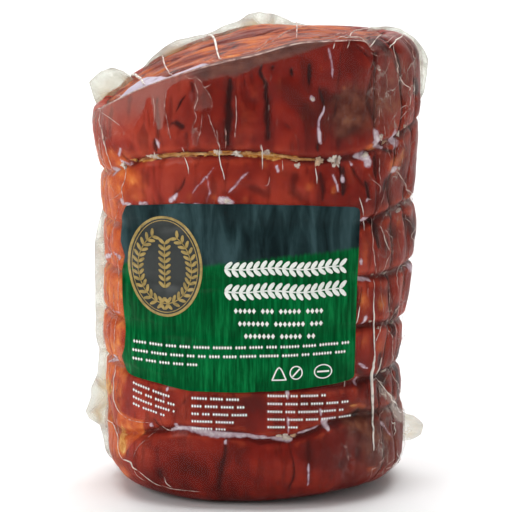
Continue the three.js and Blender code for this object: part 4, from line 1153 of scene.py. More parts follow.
def mark_ink(name, colour, bare, bare_share):
    """Opaque ink for the small marks, a little uneven where it was laid thin."""
    material, tree, place = new_material(name)
    thin = add(tree, "ShaderNodeTexNoise", None, {"Vector": place, "Scale": per_size(2.5), "Detail": 3.0})
    share = add(tree, "ShaderNodeMapRange", None, {
        "Value": thin, "From Min": 0.4, "From Max": 0.7, "To Max": bare_share})
    mixed = add(tree, "ShaderNodeMix", LAYER, {0: share, 6: colour, 7: bare})
    surface = add(tree, "ShaderNodeBsdfPrincipled", None, {"Base Color": mixed, "Roughness": 0.4, "IOR": 1.5})
    add(tree, "ShaderNodeOutputMaterial", None, {"Surface": surface})
    return material


def studio_floor(settings):
    """Matte seamless paper, nearly white, with a faint tooth."""
    material, tree, place = new_material("seamless_paper")
    tooth = add(tree, "ShaderNodeTexNoise", None, {"Vector": place, "Scale": per_size(3), "Detail": 2.0})
    bump = add(tree, "ShaderNodeBump", None, {"Strength": 0.03, "Distance": 0.0002, "Height": tooth})
    surface = add(tree, "ShaderNodeBsdfPrincipled", None, {
        "Base Color": settings.floor_colour[:], "Roughness": 0.9, "Normal": bump})
    add(tree, "ShaderNodeOutputMaterial", None, {"Surface": surface})
    return material


# ---- Node trees for what follows a path


def path_mesh(name, paths, closed, fields=None):
    """A mesh of edges along paths of points in metres, with values for each path's points."""
    vertices, edges = [], []
    for path in paths:
        start = len(vertices)
        vertices += [tuple(p) for p in path]
        edges += [(start + i, start + i + 1) for i in range(len(path) - 1)]
        if closed:
            edges.append((start + len(path) - 1, start))
    mesh = bpy.data.meshes.new(name)
    mesh.from_pydata(vertices, edges, [])
    for label, values in (fields or {}).items():
        attribute = mesh.attributes.new(label, "FLOAT", "POINT")
        attribute.data.foreach_set("value", np.concatenate(values).astype(np.float32))
    made = bpy.data.objects.new(name, mesh)
    bpy.context.scene.collection.objects.link(made)
    return made


def new_tree(name, sizes):
    """A geometry tree with a mesh in, the named sizes in, and a mesh out."""
    tree = bpy.data.node_groups.new(name, "GeometryNodeTree")
    face = tree.interface
    face.new_socket("Paths", in_out="INPUT", socket_type="NodeSocketGeometry")
    for label, value in sizes.items():
        face.new_socket(label, in_out="INPUT", socket_type="NodeSocketFloat").default_value = value
    face.new_socket("Mesh", in_out="OUTPUT", socket_type="NodeSocketGeometry")
    return tree, add(tree, "NodeGroupInput")


def close_tree(tree, parts, material):
    """Joins the parts, makes instances real and sets the material."""
    joined = add(tree, "GeometryNodeJoinGeometry")
    for part in parts:
        tree.links.new(part, joined.inputs[0])
    shaded = add(tree, "GeometryNodeSetShadeSmooth", None, {"Geometry": joined.outputs[0]})
    real = add(tree, "GeometryNodeRealizeInstances", None, {"Geometry": shaded.outputs[0]})
    coloured = add(tree, "GeometryNodeSetMaterial", None, {"Geometry": real.outputs[0], "Material": material})
    add(tree, "NodeGroupOutput", None, {0: coloured.outputs[0]})


def string_tree(material):
    """Three plies twisted round each path."""
    tree, given = new_tree("twisted_string", {"Ply radius": 0.0006, "Lay length": 0.007, "Step": 0.0009})
    curve = add(tree, "GeometryNodeMeshToCurve", None, {"Mesh": given.outputs["Paths"]})
    even = add(tree, "GeometryNodeResampleCurve", {"mode": "LENGTH"}, {
        "Curve": curve.outputs[0], "Length": given.outputs["Step"]})
    run = add(tree, "GeometryNodeSplineParameter").outputs["Length"]
    turns = add(tree, "ShaderNodeMath", {"operation": "DIVIDE"}, {0: run, 1: given.outputs["Lay length"]})
    normal = add(tree, "GeometryNodeInputNormal").outputs["Normal"]
    tangent = add(tree, "GeometryNodeInputTangent").outputs["Tangent"]
    across = add(tree, "ShaderNodeVectorMath", {"operation": "CROSS_PRODUCT"}, {0: tangent, 1: normal})
    profile = add(tree, "GeometryNodeCurvePrimitiveCircle", None, {
        "Resolution": 6, "Radius": given.outputs["Ply radius"]})
    plies = []
    for k in range(3):
        angle = add(tree, "ShaderNodeMath", {"operation": "MULTIPLY_ADD"}, {0: turns.outputs[0], 1: TURN, 2: k * TURN / 3})
        out = add(tree, "ShaderNodeMath", {"operation": "COSINE"}, {0: angle.outputs[0]})
        side = add(tree, "ShaderNodeMath", {"operation": "SINE"}, {0: angle.outputs[0]})
        first = add(tree, "ShaderNodeVectorMath", {"operation": "SCALE"}, {0: normal, "Scale": out.outputs[0]})
        second = add(tree, "ShaderNodeVectorMath", {"operation": "SCALE"}, {
            0: across.outputs[0], "Scale": side.outputs[0]})
        both = add(tree, "ShaderNodeVectorMath", {"operation": "ADD"}, {0: first.outputs[0], 1: second.outputs[0]})
        offset = add(tree, "ShaderNodeVectorMath", {"operation": "SCALE"}, {
            0: both.outputs[0], "Scale": given.outputs["Ply radius"]})
        moved = add(tree, "GeometryNodeSetPosition", None, {
            "Geometry": even.outputs[0], "Offset": offset.outputs[0]})
        ply = add(tree, "GeometryNodeCurveToMesh", None, {
            "Curve": moved.outputs[0], "Profile Curve": profile.outputs[0]})
        plies.append(ply.outputs[0])
    close_tree(tree, plies, material)
    return tree


def ridge_tree(material):
    """A thin round ridge along each path, which thins out towards its ends."""
    tree, given = new_tree("film_ridge", {"Thickness": 0.001})
    curve = add(tree, "GeometryNodeMeshToCurve", None, {"Mesh": given.outputs["Paths"]})
    taper = add(tree, "GeometryNodeInputNamedAttribute", {"data_type": "FLOAT"}, {"Name": "taper"})
    profile = add(tree, "GeometryNodeCurvePrimitiveCircle", None, {
        "Resolution": 6, "Radius": given.outputs["Thickness"]})
    ridge = add(tree, "GeometryNodeCurveToMesh", None, {
        "Curve": curve.outputs[0], "Profile Curve": profile.outputs[0], "Scale": taper.outputs[0],
        "Fill Caps": True})
    close_tree(tree, [ridge.outputs[0]], material)
    return tree


def sprig_tree(material):
    """A thin stem along each flat path, with a leaf to each side at every step."""
    sizes = {"Leaf length": 0.004, "Leaf width": 0.0012, "Spacing": 0.003, "Stem radius": 0.0002}
    tree, given = new_tree("leafy_sprig", sizes)
    curve = add(tree, "GeometryNodeMeshToCurve", None, {"Mesh": given.outputs["Paths"]})
    profile = add(tree, "GeometryNodeCurvePrimitiveCircle", None, {
        "Resolution": 6, "Radius": given.outputs["Stem radius"]})
    stem = add(tree, "GeometryNodeCurveToMesh", None, {
        "Curve": curve.outputs[0], "Profile Curve": profile.outputs[0], "Fill Caps": True})
    stops = add(tree, "GeometryNodeCurveToPoints", {"mode": "LENGTH"}, {
        "Curve": curve.outputs[0], "Length": given.outputs["Spacing"]})
    ball = add(tree, "GeometryNodeMeshIcoSphere", None, {"Radius": 1.0, "Subdivisions": 2})
    half = add(tree, "ShaderNodeMath", {"operation": "MULTIPLY"}, {0: given.outputs["Leaf length"], 1: 0.5})
    half_wide = add(tree, "ShaderNodeMath", {"operation": "MULTIPLY"}, {0: given.outputs["Leaf width"], 1: 0.5})
    reach = add(tree, "ShaderNodeCombineXYZ", None, {"X": half.outputs[0]})
    shape = add(tree, "ShaderNodeCombineXYZ", None, {"X": half.outputs[0], "Y": 0.0001, "Z": half_wide.outputs[0]})
    leaf = add(tree, "GeometryNodeTransform", None, {
        "Geometry": ball.outputs[0], "Translation": reach.outputs[0], "Scale": shape.outputs[0]})
    parts = [stem.outputs[0]]
    for side in (1.0, -1.0):
        across = add(tree, "ShaderNodeVectorMath", {"operation": "CROSS_PRODUCT"}, {
            0: stops.outputs["Tangent"], 1: (0.0, side, 0.0)})
        ahead = add(tree, "ShaderNodeVectorMath", {"operation": "MULTIPLY_ADD"}, {
            0: stops.outputs["Tangent"], 1: (0.9, 0.9, 0.9), 2: across.outputs[0]})
        turned = add(tree, "FunctionNodeAlignRotationToVector", {"axis": "X"}, {"Vector": ahead.outputs[0]})
        leaves = add(tree, "GeometryNodeInstanceOnPoints", None, {
            "Points": stops.outputs["Points"], "Instance": leaf.outputs[0], "Rotation": turned.outputs[0]})
        parts.append(leaves.outputs[0])
    close_tree(tree, parts, material)
    return tree


def grown(source, tree, sizes, name):
    """Runs a tree on an object with the sizes given, and leaves one plain mesh in its place."""
    modifier = source.modifiers.new(tree.name, "NODES")
    modifier.node_group = tree
    for item in tree.interface.items_tree:
        if item.item_type == "SOCKET" and item.in_out == "INPUT" and item.name in sizes:
            modifier[item.identifier] = sizes[item.name]
    bpy.context.view_layer.update()
    ready = source.evaluated_get(bpy.context.evaluated_depsgraph_get())
    mesh = bpy.data.meshes.new_from_object(ready)
    source.modifiers.remove(modifier)
    spare = source.data
    source.data = mesh
    bpy.data.meshes.remove(spare)
    source.name = name
    mesh.name = name
    return source


def metres(points):
    return (np.asarray(points, float) - np.array([CENTRE[0], CENTRE[1], 0.0])) * MM


# ---- Pieces


def wall_tints(phi, z, x):
    """Orange, brown, fat, shade, gel and relief shading of the rind at each point, with painted shade and light among
    them.
    """

    def spots(rows):
        return sum(share * front * bell(x - sx, half_x) * bell(z - sz, half_z) for sx, sz, half_x, half_z, share in rows)

    front = np.where(np.sin(phi) < 0.1, 1.0, 0.0)
    left = 1 - smooth(x, -74, -58)
    orange = left * lerp(0.45, 0.95, smooth(z, 40, 70)) * (1 - smooth(z, 168, 182))
    orange = orange + wall.read(WEDGE, phi, z) + 0.45 * (1 - smooth(x, -62, -35)) * smooth(z, 150, 165) * (1 - smooth(z, 178, 186))
    orange = orange + spots(ORANGE_SPOTS)
    # Painted shade, brown: in the broad hollows at the upper and lower right, on darker patches and down the right side
    brown = spots([(47, 203, 9, 12, 1), (64, 206, 12, 14, 0.5), (44, 192, 8, 6, 0.5), (72, 90, 12, 60, 0.12), (26, 205, 10, 12, 0.2),
                   (46, 167, 4, 8, 0.4), (51, 45, 8, 7, 0.8), (60, 22, 12, 14, 0.6), (58, 36, 14, 8, 0.5)])
    brown = brown + 0.17 * smooth(x, 58, 70) * (0.6 + 0.8 * cloud(np.stack([x, phi * 0, z * 0.5], axis=-1), 9, 73, 2))
    # Painted shade under the hanging film
    brown = brown + 0.8 * wall.read(RIM_VEIL_SHADE, phi, z)
    yellow = spots(YELLOW_SPOTS) + wall.read(GEL, phi, z) + 0.2 * wall.read(WEDGE, phi, z)
    fat = wall.read(FAT_SHARE, phi, z)
    # Painted light: paler rind between the label and the top loop, left of x 15 to 42
    lit = 0.45 * smooth(z, 145, 160) * (1 - smooth(z, 176, 184)) * (1 - smooth(x, 15, 42))
    shade = smooth(x, -62, -8) * (1 - lit - 0.6 * spots([(56, 118, 7, 24, 1), (63, 82, 6, 9, 0.8), (73, 112, 7, 45, 1), (74, 190, 6, 20, 0.5)]))
    # Painted shade: deeper red near the bottom, right of x -64
    shade = np.maximum(shade, 1.0 * (1 - smooth(z, 25, 48)) * smooth(x, -64, -50))
    # Painted shade on the relief shading: darker towards the bottom and on two patches right of the middle
    lie = wall.read(RELIEF_SHADING, phi, z) - 0.15 * (1 - smooth(z, 20, 45)) - 0.2 * spots([(30, 200, 15, 22, 1), (36, 166, 13, 9, 1)])
    fields = {"orange": orange, "brown": brown, "fat": fat, "shade": shade, "yellow": yellow, "lie": lie}
    return {name: np.clip(values, 0, 1) for name, values in fields.items()}


def build_roast(settings):
    phi = column_angles(ROAST_COLUMNS)
    rows, heights = side_rows(phi, RIND, 12, 178, 8)
    for row in rows:
        row[:, 2] = row[:, 2] + 0.35 * (1 - smooth(row[:, 2], 0, 6))
    top = rows[-1]
    for share, drop in ((0.975, 0.2), (0.955, 1.2), (0.945, 4.5), (0.94, 9.0)):
        rows.append(top * [share, share, 1] - [0, 0, drop])
        heights.append(top[:, 2])
    points = np.concatenate(rows)
    z = np.concatenate(heights)
    angle = np.tile(phi, len(rows))
    fields = wall_tints(angle, z, points[:, 0])
    depth = wall.read(CUT_SHADE, angle, z)
    under = points[:, 2] < 0.6
    count = len(points)
    caps = np.array([[0, 0, 0.35 + FOOT_LIFT / 8], [*top.mean(0)[:2], top[:, 2].min() - 12]])
    points = np.concatenate([points, caps])
    faces = tube_faces(len(rows), ROAST_COLUMNS).tolist()
    faces += fan_faces(np.arange(ROAST_COLUMNS), count, turned=True)
    faces += fan_faces(np.arange(count - ROAST_COLUMNS, count), count + 1)
    # Painted shade: a little on the underside, and the shade of the cuts on the wall
    fields["cut"] = np.where(under, 0.3, depth)
    fields = {name: np.append(values, [0.0, 0.0]) for name, values in fields.items()}
    rind = make_piece("roast", points, faces, roast_rind(settings), fields)

    phi = column_angles(ROAST_COLUMNS)
    rim_x, rim_y = top[:, 0], top[:, 1]
    rim_gap = top[:, 2] - end_height(rim_x, rim_y)
    shares = np.concatenate([[0.958], np.linspace(0.95, 0.02, 92)])
    x = rim_x[None, :] * shares[:, None]
    y = rim_y[None, :] * shares[:, None]
    ring = np.broadcast_to(shares[:, None], x.shape)
    height, gaps = flesh_fields(x, y, ring, settings)
    z = end_base(x, y, ring, rim_gap[None, :]) + height - 1.4 * smooth(ring, 0.9, 0.95)
    left_fat = fat_band(x, y, ring)
    fat = 0.9 * left_fat + 0.12 * smooth(ring, 0.84, 0.93)
    rind_patch = smooth(x, 52, 64) * (1 - smooth(y, 20, 50))
    points = np.stack([x, y, z], axis=-1).reshape(-1, 3)
    count = len(points)
    middle = [0, 0, float(z[-1].mean())]
    lower = np.stack([x[0], y[0], z[0] - 7], axis=-1)
    points = np.concatenate([points, [middle], lower, [[0, 0, float(z[0].min()) - 7]]])
    faces = tube_faces(len(shares), ROAST_COLUMNS).tolist()
    faces += fan_faces(np.arange(count - ROAST_COLUMNS, count), count)
    low = np.arange(count + 1, count + 1 + ROAST_COLUMNS)
    outer = np.arange(ROAST_COLUMNS)
    faces += [tuple(int(v) for v in q) for q in zip(low, np.roll(low, -1), np.roll(outer, -1), outer)]
    faces += fan_faces(low, count + 1 + ROAST_COLUMNS, turned=True)
    pad = np.zeros(ROAST_COLUMNS + 2)
    # Painted shade in the gaps where rind meets flesh and in the ring by the rim; darker rind at the right and seared
    # front
    dark = np.clip(gaps + 0.6 * rind_patch * (0.6 + 0.4 * cloud(np.stack([x, y, z], -1), 6, 51, 2)), 0, 1)
    seared = smooth(ring + 0.1 * cloud(np.stack([x / 2, y, z], -1), 7, 52, 2), 0.78, 0.92) * smooth(-y, 10, 30)
    dark = np.maximum.reduce([dark, 0.75 * smooth(ring, 0.925, 0.95), 0.55 * seared]) * (1 - left_fat)
    fields = {"cut": np.concatenate([dark.ravel(), pad]), "fat": np.concatenate([fat.ravel(), pad])}
    flesh = make_piece("roast_end", points, faces, roast_flesh(settings), fields)
    return rind, flesh


def build_string(settings):
    phi = np.linspace(0, TURN, 420, endpoint=False)
    paths = []
    for k in range(len(LOOPS)):
        z = loop_height(k, phi)
        floor = wall.read(TIED_RIND, phi, z)
        x, y = section(phi, z)
        radius = np.hypot(x, y)
        seen = (1 - smooth(x, 26, 36)) * smooth(x, -62, -56) if k == 5 else 0.0
        sunk = 0.6 + 2.6 * (1 - seen) * smooth(-y, -12, 8)
        share = (radius + floor + STRING_RADIUS * (0.9 - sunk)) / radius
        paths.append(metres(np.stack([x * share, y * share, z], axis=-1)))
    source = path_mesh("string_paths", paths, closed=True)
    material = soaked_string(settings)
    ply = settings.string_diameter / 4
    return grown(source, string_tree(material), {"Ply radius": ply, "Lay length": settings.string_lay}, "string")


def lump_mesh(x, z, half_x, half_z, rise, seed, rows=10, columns=32):
    """One flattened ragged lump on the front of the rind, as points and faces."""
    turn = np.linspace(0, TURN, columns, endpoint=False)
    lift = np.linspace(0, TURN / 4, rows)
    chance = np.random.RandomState(seed)
    waves = chance.uniform(0, TURN, 4)
    edge = 0.9 + 0.14 * np.sin(2 * turn + waves[0]) + 0.17 * np.sin(3 * turn + waves[1])
    edge = edge + 0.14 * np.sin(7 * turn + waves[2]) + 0.1 * np.sin(11 * turn + waves[3])
    out = np.cos(lift)[:, None]
    px = x + half_x * edge * np.cos(turn) * out
    pz = z + half_z * edge * np.sin(turn) * out
    up = np.sin(lift)[:, None]
    high = rise * up * (1 + 0.25 * np.sin(3 * turn + waves[3]) * out) - LUMP_SKIRT
    points = on_front(TIED_RIND, px, pz, high)
    faces = tube_faces(rows, columns).tolist()
    return points.reshape(-1, 3), faces


def build_fat(settings):
    points, faces, yellow = [], [], []
    lumps = list(FAT_LUMPS)
    chance = np.random.RandomState(17)
    for _ in range(16):
        x = chance.uniform(-62, 24)
        z = float(follow(LOOP_FRONTS[5], x)) + chance.uniform(-1, 1)
        lumps.append((x, z, chance.uniform(0.8, 2.2), chance.uniform(0.4, 0.9), chance.uniform(0.5, 1)))
    for k in (1, 2, 3, 4):
        for _ in range(3):
            x = chance.uniform(56, 74)
            z = float(loop_height(k, front_angle(np.array(x), np.array(LOOPS[k][0])))) + chance.uniform(-2.5, 2.5)
            lumps.append((x, z, chance.uniform(0.6, 1.6), chance.uniform(0.4, 0.9), chance.uniform(0, 0.3)))
    for i, (x, z, half_x, half_z, tint) in enumerate(lumps):
        rise = 0.8 + LUMP_SKIRT + 0.35 * min(half_x, half_z)
        made, sides = lump_mesh(x, z, half_x, half_z, rise, i)
        start = sum(len(p) for p in points)
        points.append(made)
        faces += [[v + start for v in face] for face in sides]
        yellow += [tint] * len(made)
    return make_piece("set_fat", np.concatenate(points), faces, set_fat(settings), {"yellow": yellow})


def rim_top(field, phi, lift=0.0):
    """The inner top of the rim, where the wall has turned level."""
    z = rim_height(phi)
    x, y = section(phi, z)
    radius = np.hypot(x, y)
    share = (radius + wall.read(field, phi, z) + lift - rim_radius(phi)) / radius
    return x * share, y * share, z


def end_place(x, y):
    """How far out a point of the upper end lies, from 0 to 1 at the rim, and how high the rim stands there."""
    phi = np.linspace(0, TURN, 720, endpoint=False)
    rim_x, rim_y, rim_z = rim_top(FILM, phi)
    angle = np.arctan2(rim_y, rim_x) % TURN
    order = np.argsort(angle)
    at = np.arctan2(y, x) % TURN
    reach = np.interp(at, angle[order], np.hypot(rim_x, rim_y)[order], period=TURN)
    gap = np.interp(at, angle[order], (rim_z - end_height(rim_x, rim_y))[order], period=TURN)
    return np.hypot(x, y) / reach, gap


def film_over_end(x, y, share, rim_gap):
    """Height of the film over the torn flesh, and its veil."""
    crag = 0.6 * (np.sin(y / 6.5 + np.sin(x / 17)) + 0.5 * np.sin(y / 3.7 + x / 25 + 1))
    fibres = cloud(np.stack([x / 3.0, y, y * 0.0 + 40], axis=-1), 9, 53, 2)
    creases = np.clip(sum(plan_stroke(x, y, points_of(flat), 1.6) for _, _, *flat in END_CREASES), 0, 1)
    inside = 1 - smooth(share, 0.9, 0.96)
    z = end_base(x, y, share, rim_gap) + 0.6 + inside * (crag + 1.7 + 0.8 * fibres) + 0.8 * creases
    z = z + FAT_RISE * fat_band(x, y, share) * inside
    slack = cloud(np.stack([x / 1.6, y, y * 0.0], axis=-1), 13, 57, 2)
    veil = 0.05 + 0.42 * slack + 0.1 * smooth(share, 0.9, 0.95)
    return z, np.clip(veil, 0, 1)


def build_film(settings):
    phi = column_angles(FILM_COLUMNS)
    rows, heights = side_rows(phi, FILM, 10, FILM_ROWS, 8)
    top = rows[-1]
    side_count = len(rows)
    rim_gap = top[:, 2] - end_height(top[:, 0], top[:, 1])
    shares = np.concatenate([[0.985, 0.97, 0.955], np.linspace(0.94, 0.02, 46)])
    x = top[None, :, 0] * shares[:, None]
    y = top[None, :, 1] * shares[:, None]
    ring = np.broadcast_to(shares[:, None], x.shape)
    z, end_veil = film_over_end(x, y, ring, rim_gap[None, :])
    points = np.concatenate([np.concatenate(rows), np.stack([x, y, z], axis=-1).reshape(-1, 3)])
    count = len(points)
    points = np.concatenate([points, [[0, 0, float(z[-1].mean())], [0, 0, FOOT_LIFT / 8]]])
    faces = tube_faces(side_count + len(shares), FILM_COLUMNS).tolist()
    faces += fan_faces(np.arange(count - FILM_COLUMNS, count), count)
    faces += fan_faces(np.arange(FILM_COLUMNS), count + 1, turned=True)
    angle = np.tile(phi, side_count)
    level = np.concatenate(heights)
    veil = np.concatenate([wall.read(VEIL, angle, level), end_veil.ravel(), [0.2, 0.0]])
    crumple = np.concatenate([wall.read(CRUMPLE, angle, level), np.full(x.size, 0.25), [0.0, 0.0]])
    end_milk = 0.6 - 0.2 * bell(x - 5, 28)
    milk = np.concatenate([wall.read(MILK, angle, level), end_milk.ravel(), [0.6, 0.6]])
    fields = {"veil": np.clip(veil, 0, 1), "crumple": crumple, "milk": milk}
    return make_piece("film", points, faces, shrink_film(settings), fields)


def curve_through(tips, count):
    """Points on a smooth curve through the tips."""
    tips = np.array(tips, float)
    last = len(tips) - 1
    place = np.linspace(0, last, count)
    i = np.minimum(place.astype(int), last - 1)
    t = (place - i)[:, None]
    before, start = tips[np.maximum(i - 1, 0)], tips[i]
    end, after = tips[i + 1], tips[np.minimum(i + 2, last)]
    before = np.where((i == 0)[:, None], start, before)
    after = np.where((i + 2 > last)[:, None], end, after)
    slope_in, slope_out = (end - before) / 2, (after - start) / 2
    return (
        (2 * start - 2 * end + slope_in + slope_out) * t**3
        + (-3 * start + 3 * end - 2 * slope_in - slope_out) * t**2
        + slope_in * t
        + start
    )


def edge_root(name, x, z):
    roots = {
        "left": (x + FIN_ROOT, z),
        "top_left": (x * 0.74, z - FIN_ROOT * 1.5),
        "back": (x * 0.96, z - FIN_ROOT * 1.3),
        "top_right": (x * 0.8, z - FIN_ROOT * 0.9),
        "right_ear": (x - FIN_ROOT * 1.3, z * 0.9 + 2.2),
        "right_foot": (x - FIN_ROOT, z),
    }
    return roots[name]


def back_of(x, z):
    mirrored = TURN - front_angle(x, z)
    return section(mirrored, z)[1]


def build_loose_film(settings):
    points, faces, fold, near = [], [], [], []
    for number, (name, (plane, ruffle, tips)) in enumerate(LOOSE_EDGES.items()):
        along = len(tips) * 11
        places = np.linspace(0, len(tips) - 1, along)
        straight = np.stack([np.interp(places, range(len(tips)), side) for side in np.transpose(tips)], axis=-1)
        tip = lerp(curve_through(tips, along), straight, 0.7)
        root_x, root_z = edge_root(name, tip[:, 0], tip[:, 1])
        shares = np.linspace(0, 1, 26)
        x = lerp(root_x[:, None], tip[:, 0][:, None], shares)
        z = lerp(root_z[:, None], tip[:, 1][:, None], shares)
        if plane is None:
            y = back_of(x, np.full_like(x, HEIGHT - 20)) - 9
        else:
            y = np.full_like(x, float(plane))
        run = np.linspace(0, (len(tips)) * 2, along)[:, None]
        wave = ruffle * shares**2 * np.sin(run * 1.35 + ruffle)
        flat = np.stack([x, y * 0 + 31 * number, z], axis=-1)
        crumple = cloud(flat, 13, 61, 2)
        ridge = ridges(flat * [0.7, 1.0, 1.3], 13, 67)
        for side in (1,) if name == "right_ear" else (-1, 1):
            bulge = side * 0.55 * (1 - shares**6) * (1 + 0.5 * cloud(flat + 50 * side, 9, 63, 2))
            body = wave + 1.2 * crumple * shares + 0.8 * ridge * shares + bulge
            pushed = cloud(flat + 90, 6, 65, 2) * 0.5 * shares
            layer = np.stack([x + pushed * 0.5, y + body, z + pushed], axis=-1)
            start = sum(len(p) for p in points)
            points.append(layer.reshape(-1, 3))
            quads = sheet_faces(along, len(shares), start)
            faces += (quads if side > 0 else quads[:, ::-1]).tolist()
            edge = 0.8 * smooth(shares, 0.95, 1.0) + 0 * x
            fold.append(np.clip(ridge + edge, 0, 1).ravel())
            meat_side = 1 - smooth(shares, 0.55, 1.05) + 0 * x
            stain = meat_side * (0.65 + 0.5 * crumple) + (0.3 if name == "right_ear" else 0)
            if name == "top_left":
                stain = stain + 0.5 * bell(x + 79, 5) * bell(z - 197, 9)
            near.append(np.clip(stain, 0, 1).ravel())
    fields = {"fold": np.concatenate(fold), "near": np.concatenate(near)}
    return make_piece("film_edges", np.concatenate(points), faces, loose_film(settings), fields)


def smoothed_path(path, step=0.8):
    """Evenly spaced points of x and z on a smooth curve through a crease's points."""
    dense = curve_through(path, len(path) * 12)
    lengths = np.concatenate([[0], np.cumsum(np.hypot(*np.diff(dense, axis=0).T))])
    count = max(6, int(lengths[-1] / step))
    even = np.linspace(0, lengths[-1], count)
    return np.stack([np.interp(even, lengths, dense[:, 0]), np.interp(even, lengths, dense[:, 1])], axis=-1)


def random_creases():
    """Short upright creases near both sides and under the rim."""
    chance = np.random.RandomState(23)
    made = []
    for low_x, high_x, low_z, high_z, count, length in (
        (60, 75, 15, 215, 26, 18), (-77, -66, 20, 200, 7, 16), (-58, 55, 190, 222, 8, 9), (46, 60, 8, 40, 6, 12),
    ):
        for _ in range(count):
            x, z = chance.uniform(low_x, high_x), chance.uniform(low_z, high_z)
            limit = float(rim_height(np.array([float(front_angle(np.array(x), np.array(z)))]))[0]) - 4
            run = length * chance.uniform(0.4, 1.3)
            lean = chance.normal(0, 0.16)
            bend = chance.normal(0, 0.8)
            top = min(z + run / 2, limit)
            bottom = max(top - run, 4)
            x_low, x_high = x - lean * run / 2, x + lean * run / 2
            made.append([(x_high, top), (x + bend, (top + bottom) / 2), (x_low, bottom)])
    return made


def build_creases(settings):
    chance = np.random.RandomState(29)
    paths, tapers, tones = [], [], []

    def add_line(points, radius, tone, blunt=0.5):
        t = np.linspace(0, 1, len(points))
        paths.append(metres(points))
        tapers.append((0.2 + 0.8 * np.sin(np.pi * t) ** blunt) * radius)
        tones.append(np.full(len(points), tone))

    lines = [(radius * 0.6, tone, points_of(flat)) for radius, tone, *flat in CREASES]
    lines += [(chance.uniform(0.1, 0.18), chance.uniform(-0.1, 0.3), path) for path in random_creases()]
    for radius, tone, path in lines:
        flat = smoothed_path(path)
        flat[:, 0] = np.clip(flat[:, 0], -80, 79)
        sway = 0.5 * cloud(np.stack([flat[:, 0], flat[:, 0] * 0 + radius * 99, flat[:, 1]], axis=-1), 4, 79, 2)
        add_line(on_front(FILM, flat[:, 0] + sway, flat[:, 1], 0.0), radius, tone)
    for radius, tone, *flat in END_CREASES:
        flat = smoothed_path(points_of(flat))
        share, gap = end_place(flat[:, 0], flat[:, 1])
        z = end_base(flat[:, 0], flat[:, 1], share, gap) + 1.0 + 2.2 * (1 - smooth(share, 0.84, 0.95))
        add_line(np.stack([flat[:, 0], flat[:, 1], z], axis=-1), radius * 0.8, tone - 0.1)
    phi = np.linspace(RIM_LINE_START, RIM_LINE_END, 260)
    x, y, z = rim_top(FILM, phi, RIM_LINE_OUT * rim_radius(phi))
    add_line(np.stack([x, y, z - 0.35 * RIM_LINE_OUT * rim_radius(phi)], axis=-1), 0.3, 0.4, 0.15)
    source = path_mesh("crease_paths", paths, False, {"taper": tapers, "tone": tones})
    size = {"Thickness": settings.crease_thickness}
    return grown(source, ridge_tree(film_crease(settings)), size, "film_creases")


# Outline of the printed field, as points of x and z
FIELD_TOP = [(-70, 151.2), (-65.7, 152.6), (-37.6, 156), (-7.9, 156.5), (21.7, 155.6), (44.1, 154), (53, 153)]
FIELD_BOTTOM = [(-70, 65.2), (-64.4, 64.9), (-48.2, 63.5), (-33, 61), (-7.5, 60.9), (15, 61.7), (39.6, 63.8), (53, 66)]
FIELD_LEFT = [(60, -65.2), (65, -65.5), (73.6, -68.2), (79.4, -66.5), (87.4, -65.9), (102.4, -67.4), (117.8, -67.7),
              (126, -66), (132.9, -68.2), (146.1, -67.4), (152.4, -65.2), (157, -64.6)]
FIELD_RIGHT = [(60, 49.3), (85.3, 49.9), (105.9, 50.3), (126.3, 51), (148.5, 51.8), (157, 51.6)]
FIELD_CORNER = 2.6
BORDER = [(-70, 122.4), (-37.8, 123.2), (-7.9, 127.2), (21.8, 131), (53, 133)]


def build_field(settings):
    rows, columns = 150, 220
    v = np.linspace(0, 1, rows)[:, None]
    u = np.linspace(0, 1, columns)[None, :]
    x = np.broadcast_to(lerp(-68.0, 50.0, u), (rows, columns)).copy()
    for _ in range(3):
        z = lerp(follow(FIELD_BOTTOM, x), follow(FIELD_TOP, x), v)
        low, high = z - z[:1], z[-1:] - z
        gap = np.clip(np.minimum(low, high), 0, FIELD_CORNER)
        round_in = FIELD_CORNER - np.sqrt(np.maximum(0, FIELD_CORNER**2 - (FIELD_CORNER - gap) ** 2))
        x = lerp(follow(FIELD_LEFT, z) + round_in, follow(FIELD_RIGHT, z) - round_in, u)
    points = on_front(FILM, x, z, 0.14)
    green = smooth(follow(BORDER, x) - z, -5, 5)
    faces = sheet_faces(rows, columns)
    made = make_piece("print_field", points.reshape(-1, 3), faces, field_ink(settings), {"green": green.ravel()})
    return made


def wrapped(flat, lift):
    """Lays points of x, depth and z on the printed film, the lift of each being less its depth."""
    return on_front(FILM, flat[:, 0], flat[:, 2], lift - flat[:, 1])


def lozenge_rows(rows, chance):
    """Rows of small lozenges in groups. Each row has its start, end, height, size of lozenge and slope."""
    points, faces = [], []
    for x0, x1, z0, high, wide, slope in rows:
        x = x0
        left = chance.randint(3, 9)
        while x < x1:
            start = len(points)
            middle = z0 + slope * (x - x0) + high / 2
            points += [(x, 0, middle), (x + wide / 2, 0, middle - high / 2),
                       (x + wide, 0, middle), (x + wide / 2, 0, middle + high / 2)]
            faces.append((start, start + 1, start + 2, start + 3))
            x += wide * 1.12
            left -= 1
            if left == 0:
                x += wide * 1.1
                left = chance.randint(3, 9)
    return np.array(points, float), faces


def ring_shape(x, z, rx, rz, width, columns=64):
    """A flat oval ring."""
    turn = np.linspace(0, TURN, columns, endpoint=False)
    rows = [
        np.stack([x + (rx - w) * np.cos(turn), 0 * turn, z + (rz - w) * np.sin(turn)], axis=-1)
        for w in np.linspace(0, width, 3)
    ]
    return np.concatenate(rows), tube_faces(3, columns).tolist()


def disc_shape(x, z, rx, rz, depth=0.0, columns=64, rings=14):
    turn = np.linspace(0, TURN, columns, endpoint=False)
    rows = [
        np.stack([x + rx * s * np.cos(turn), 0 * turn + depth, z + rz * s * np.sin(turn)], axis=-1)
        for s in np.linspace(1, 0.02, rings)
    ]
    return np.concatenate(rows), tube_faces(rings, columns).tolist()


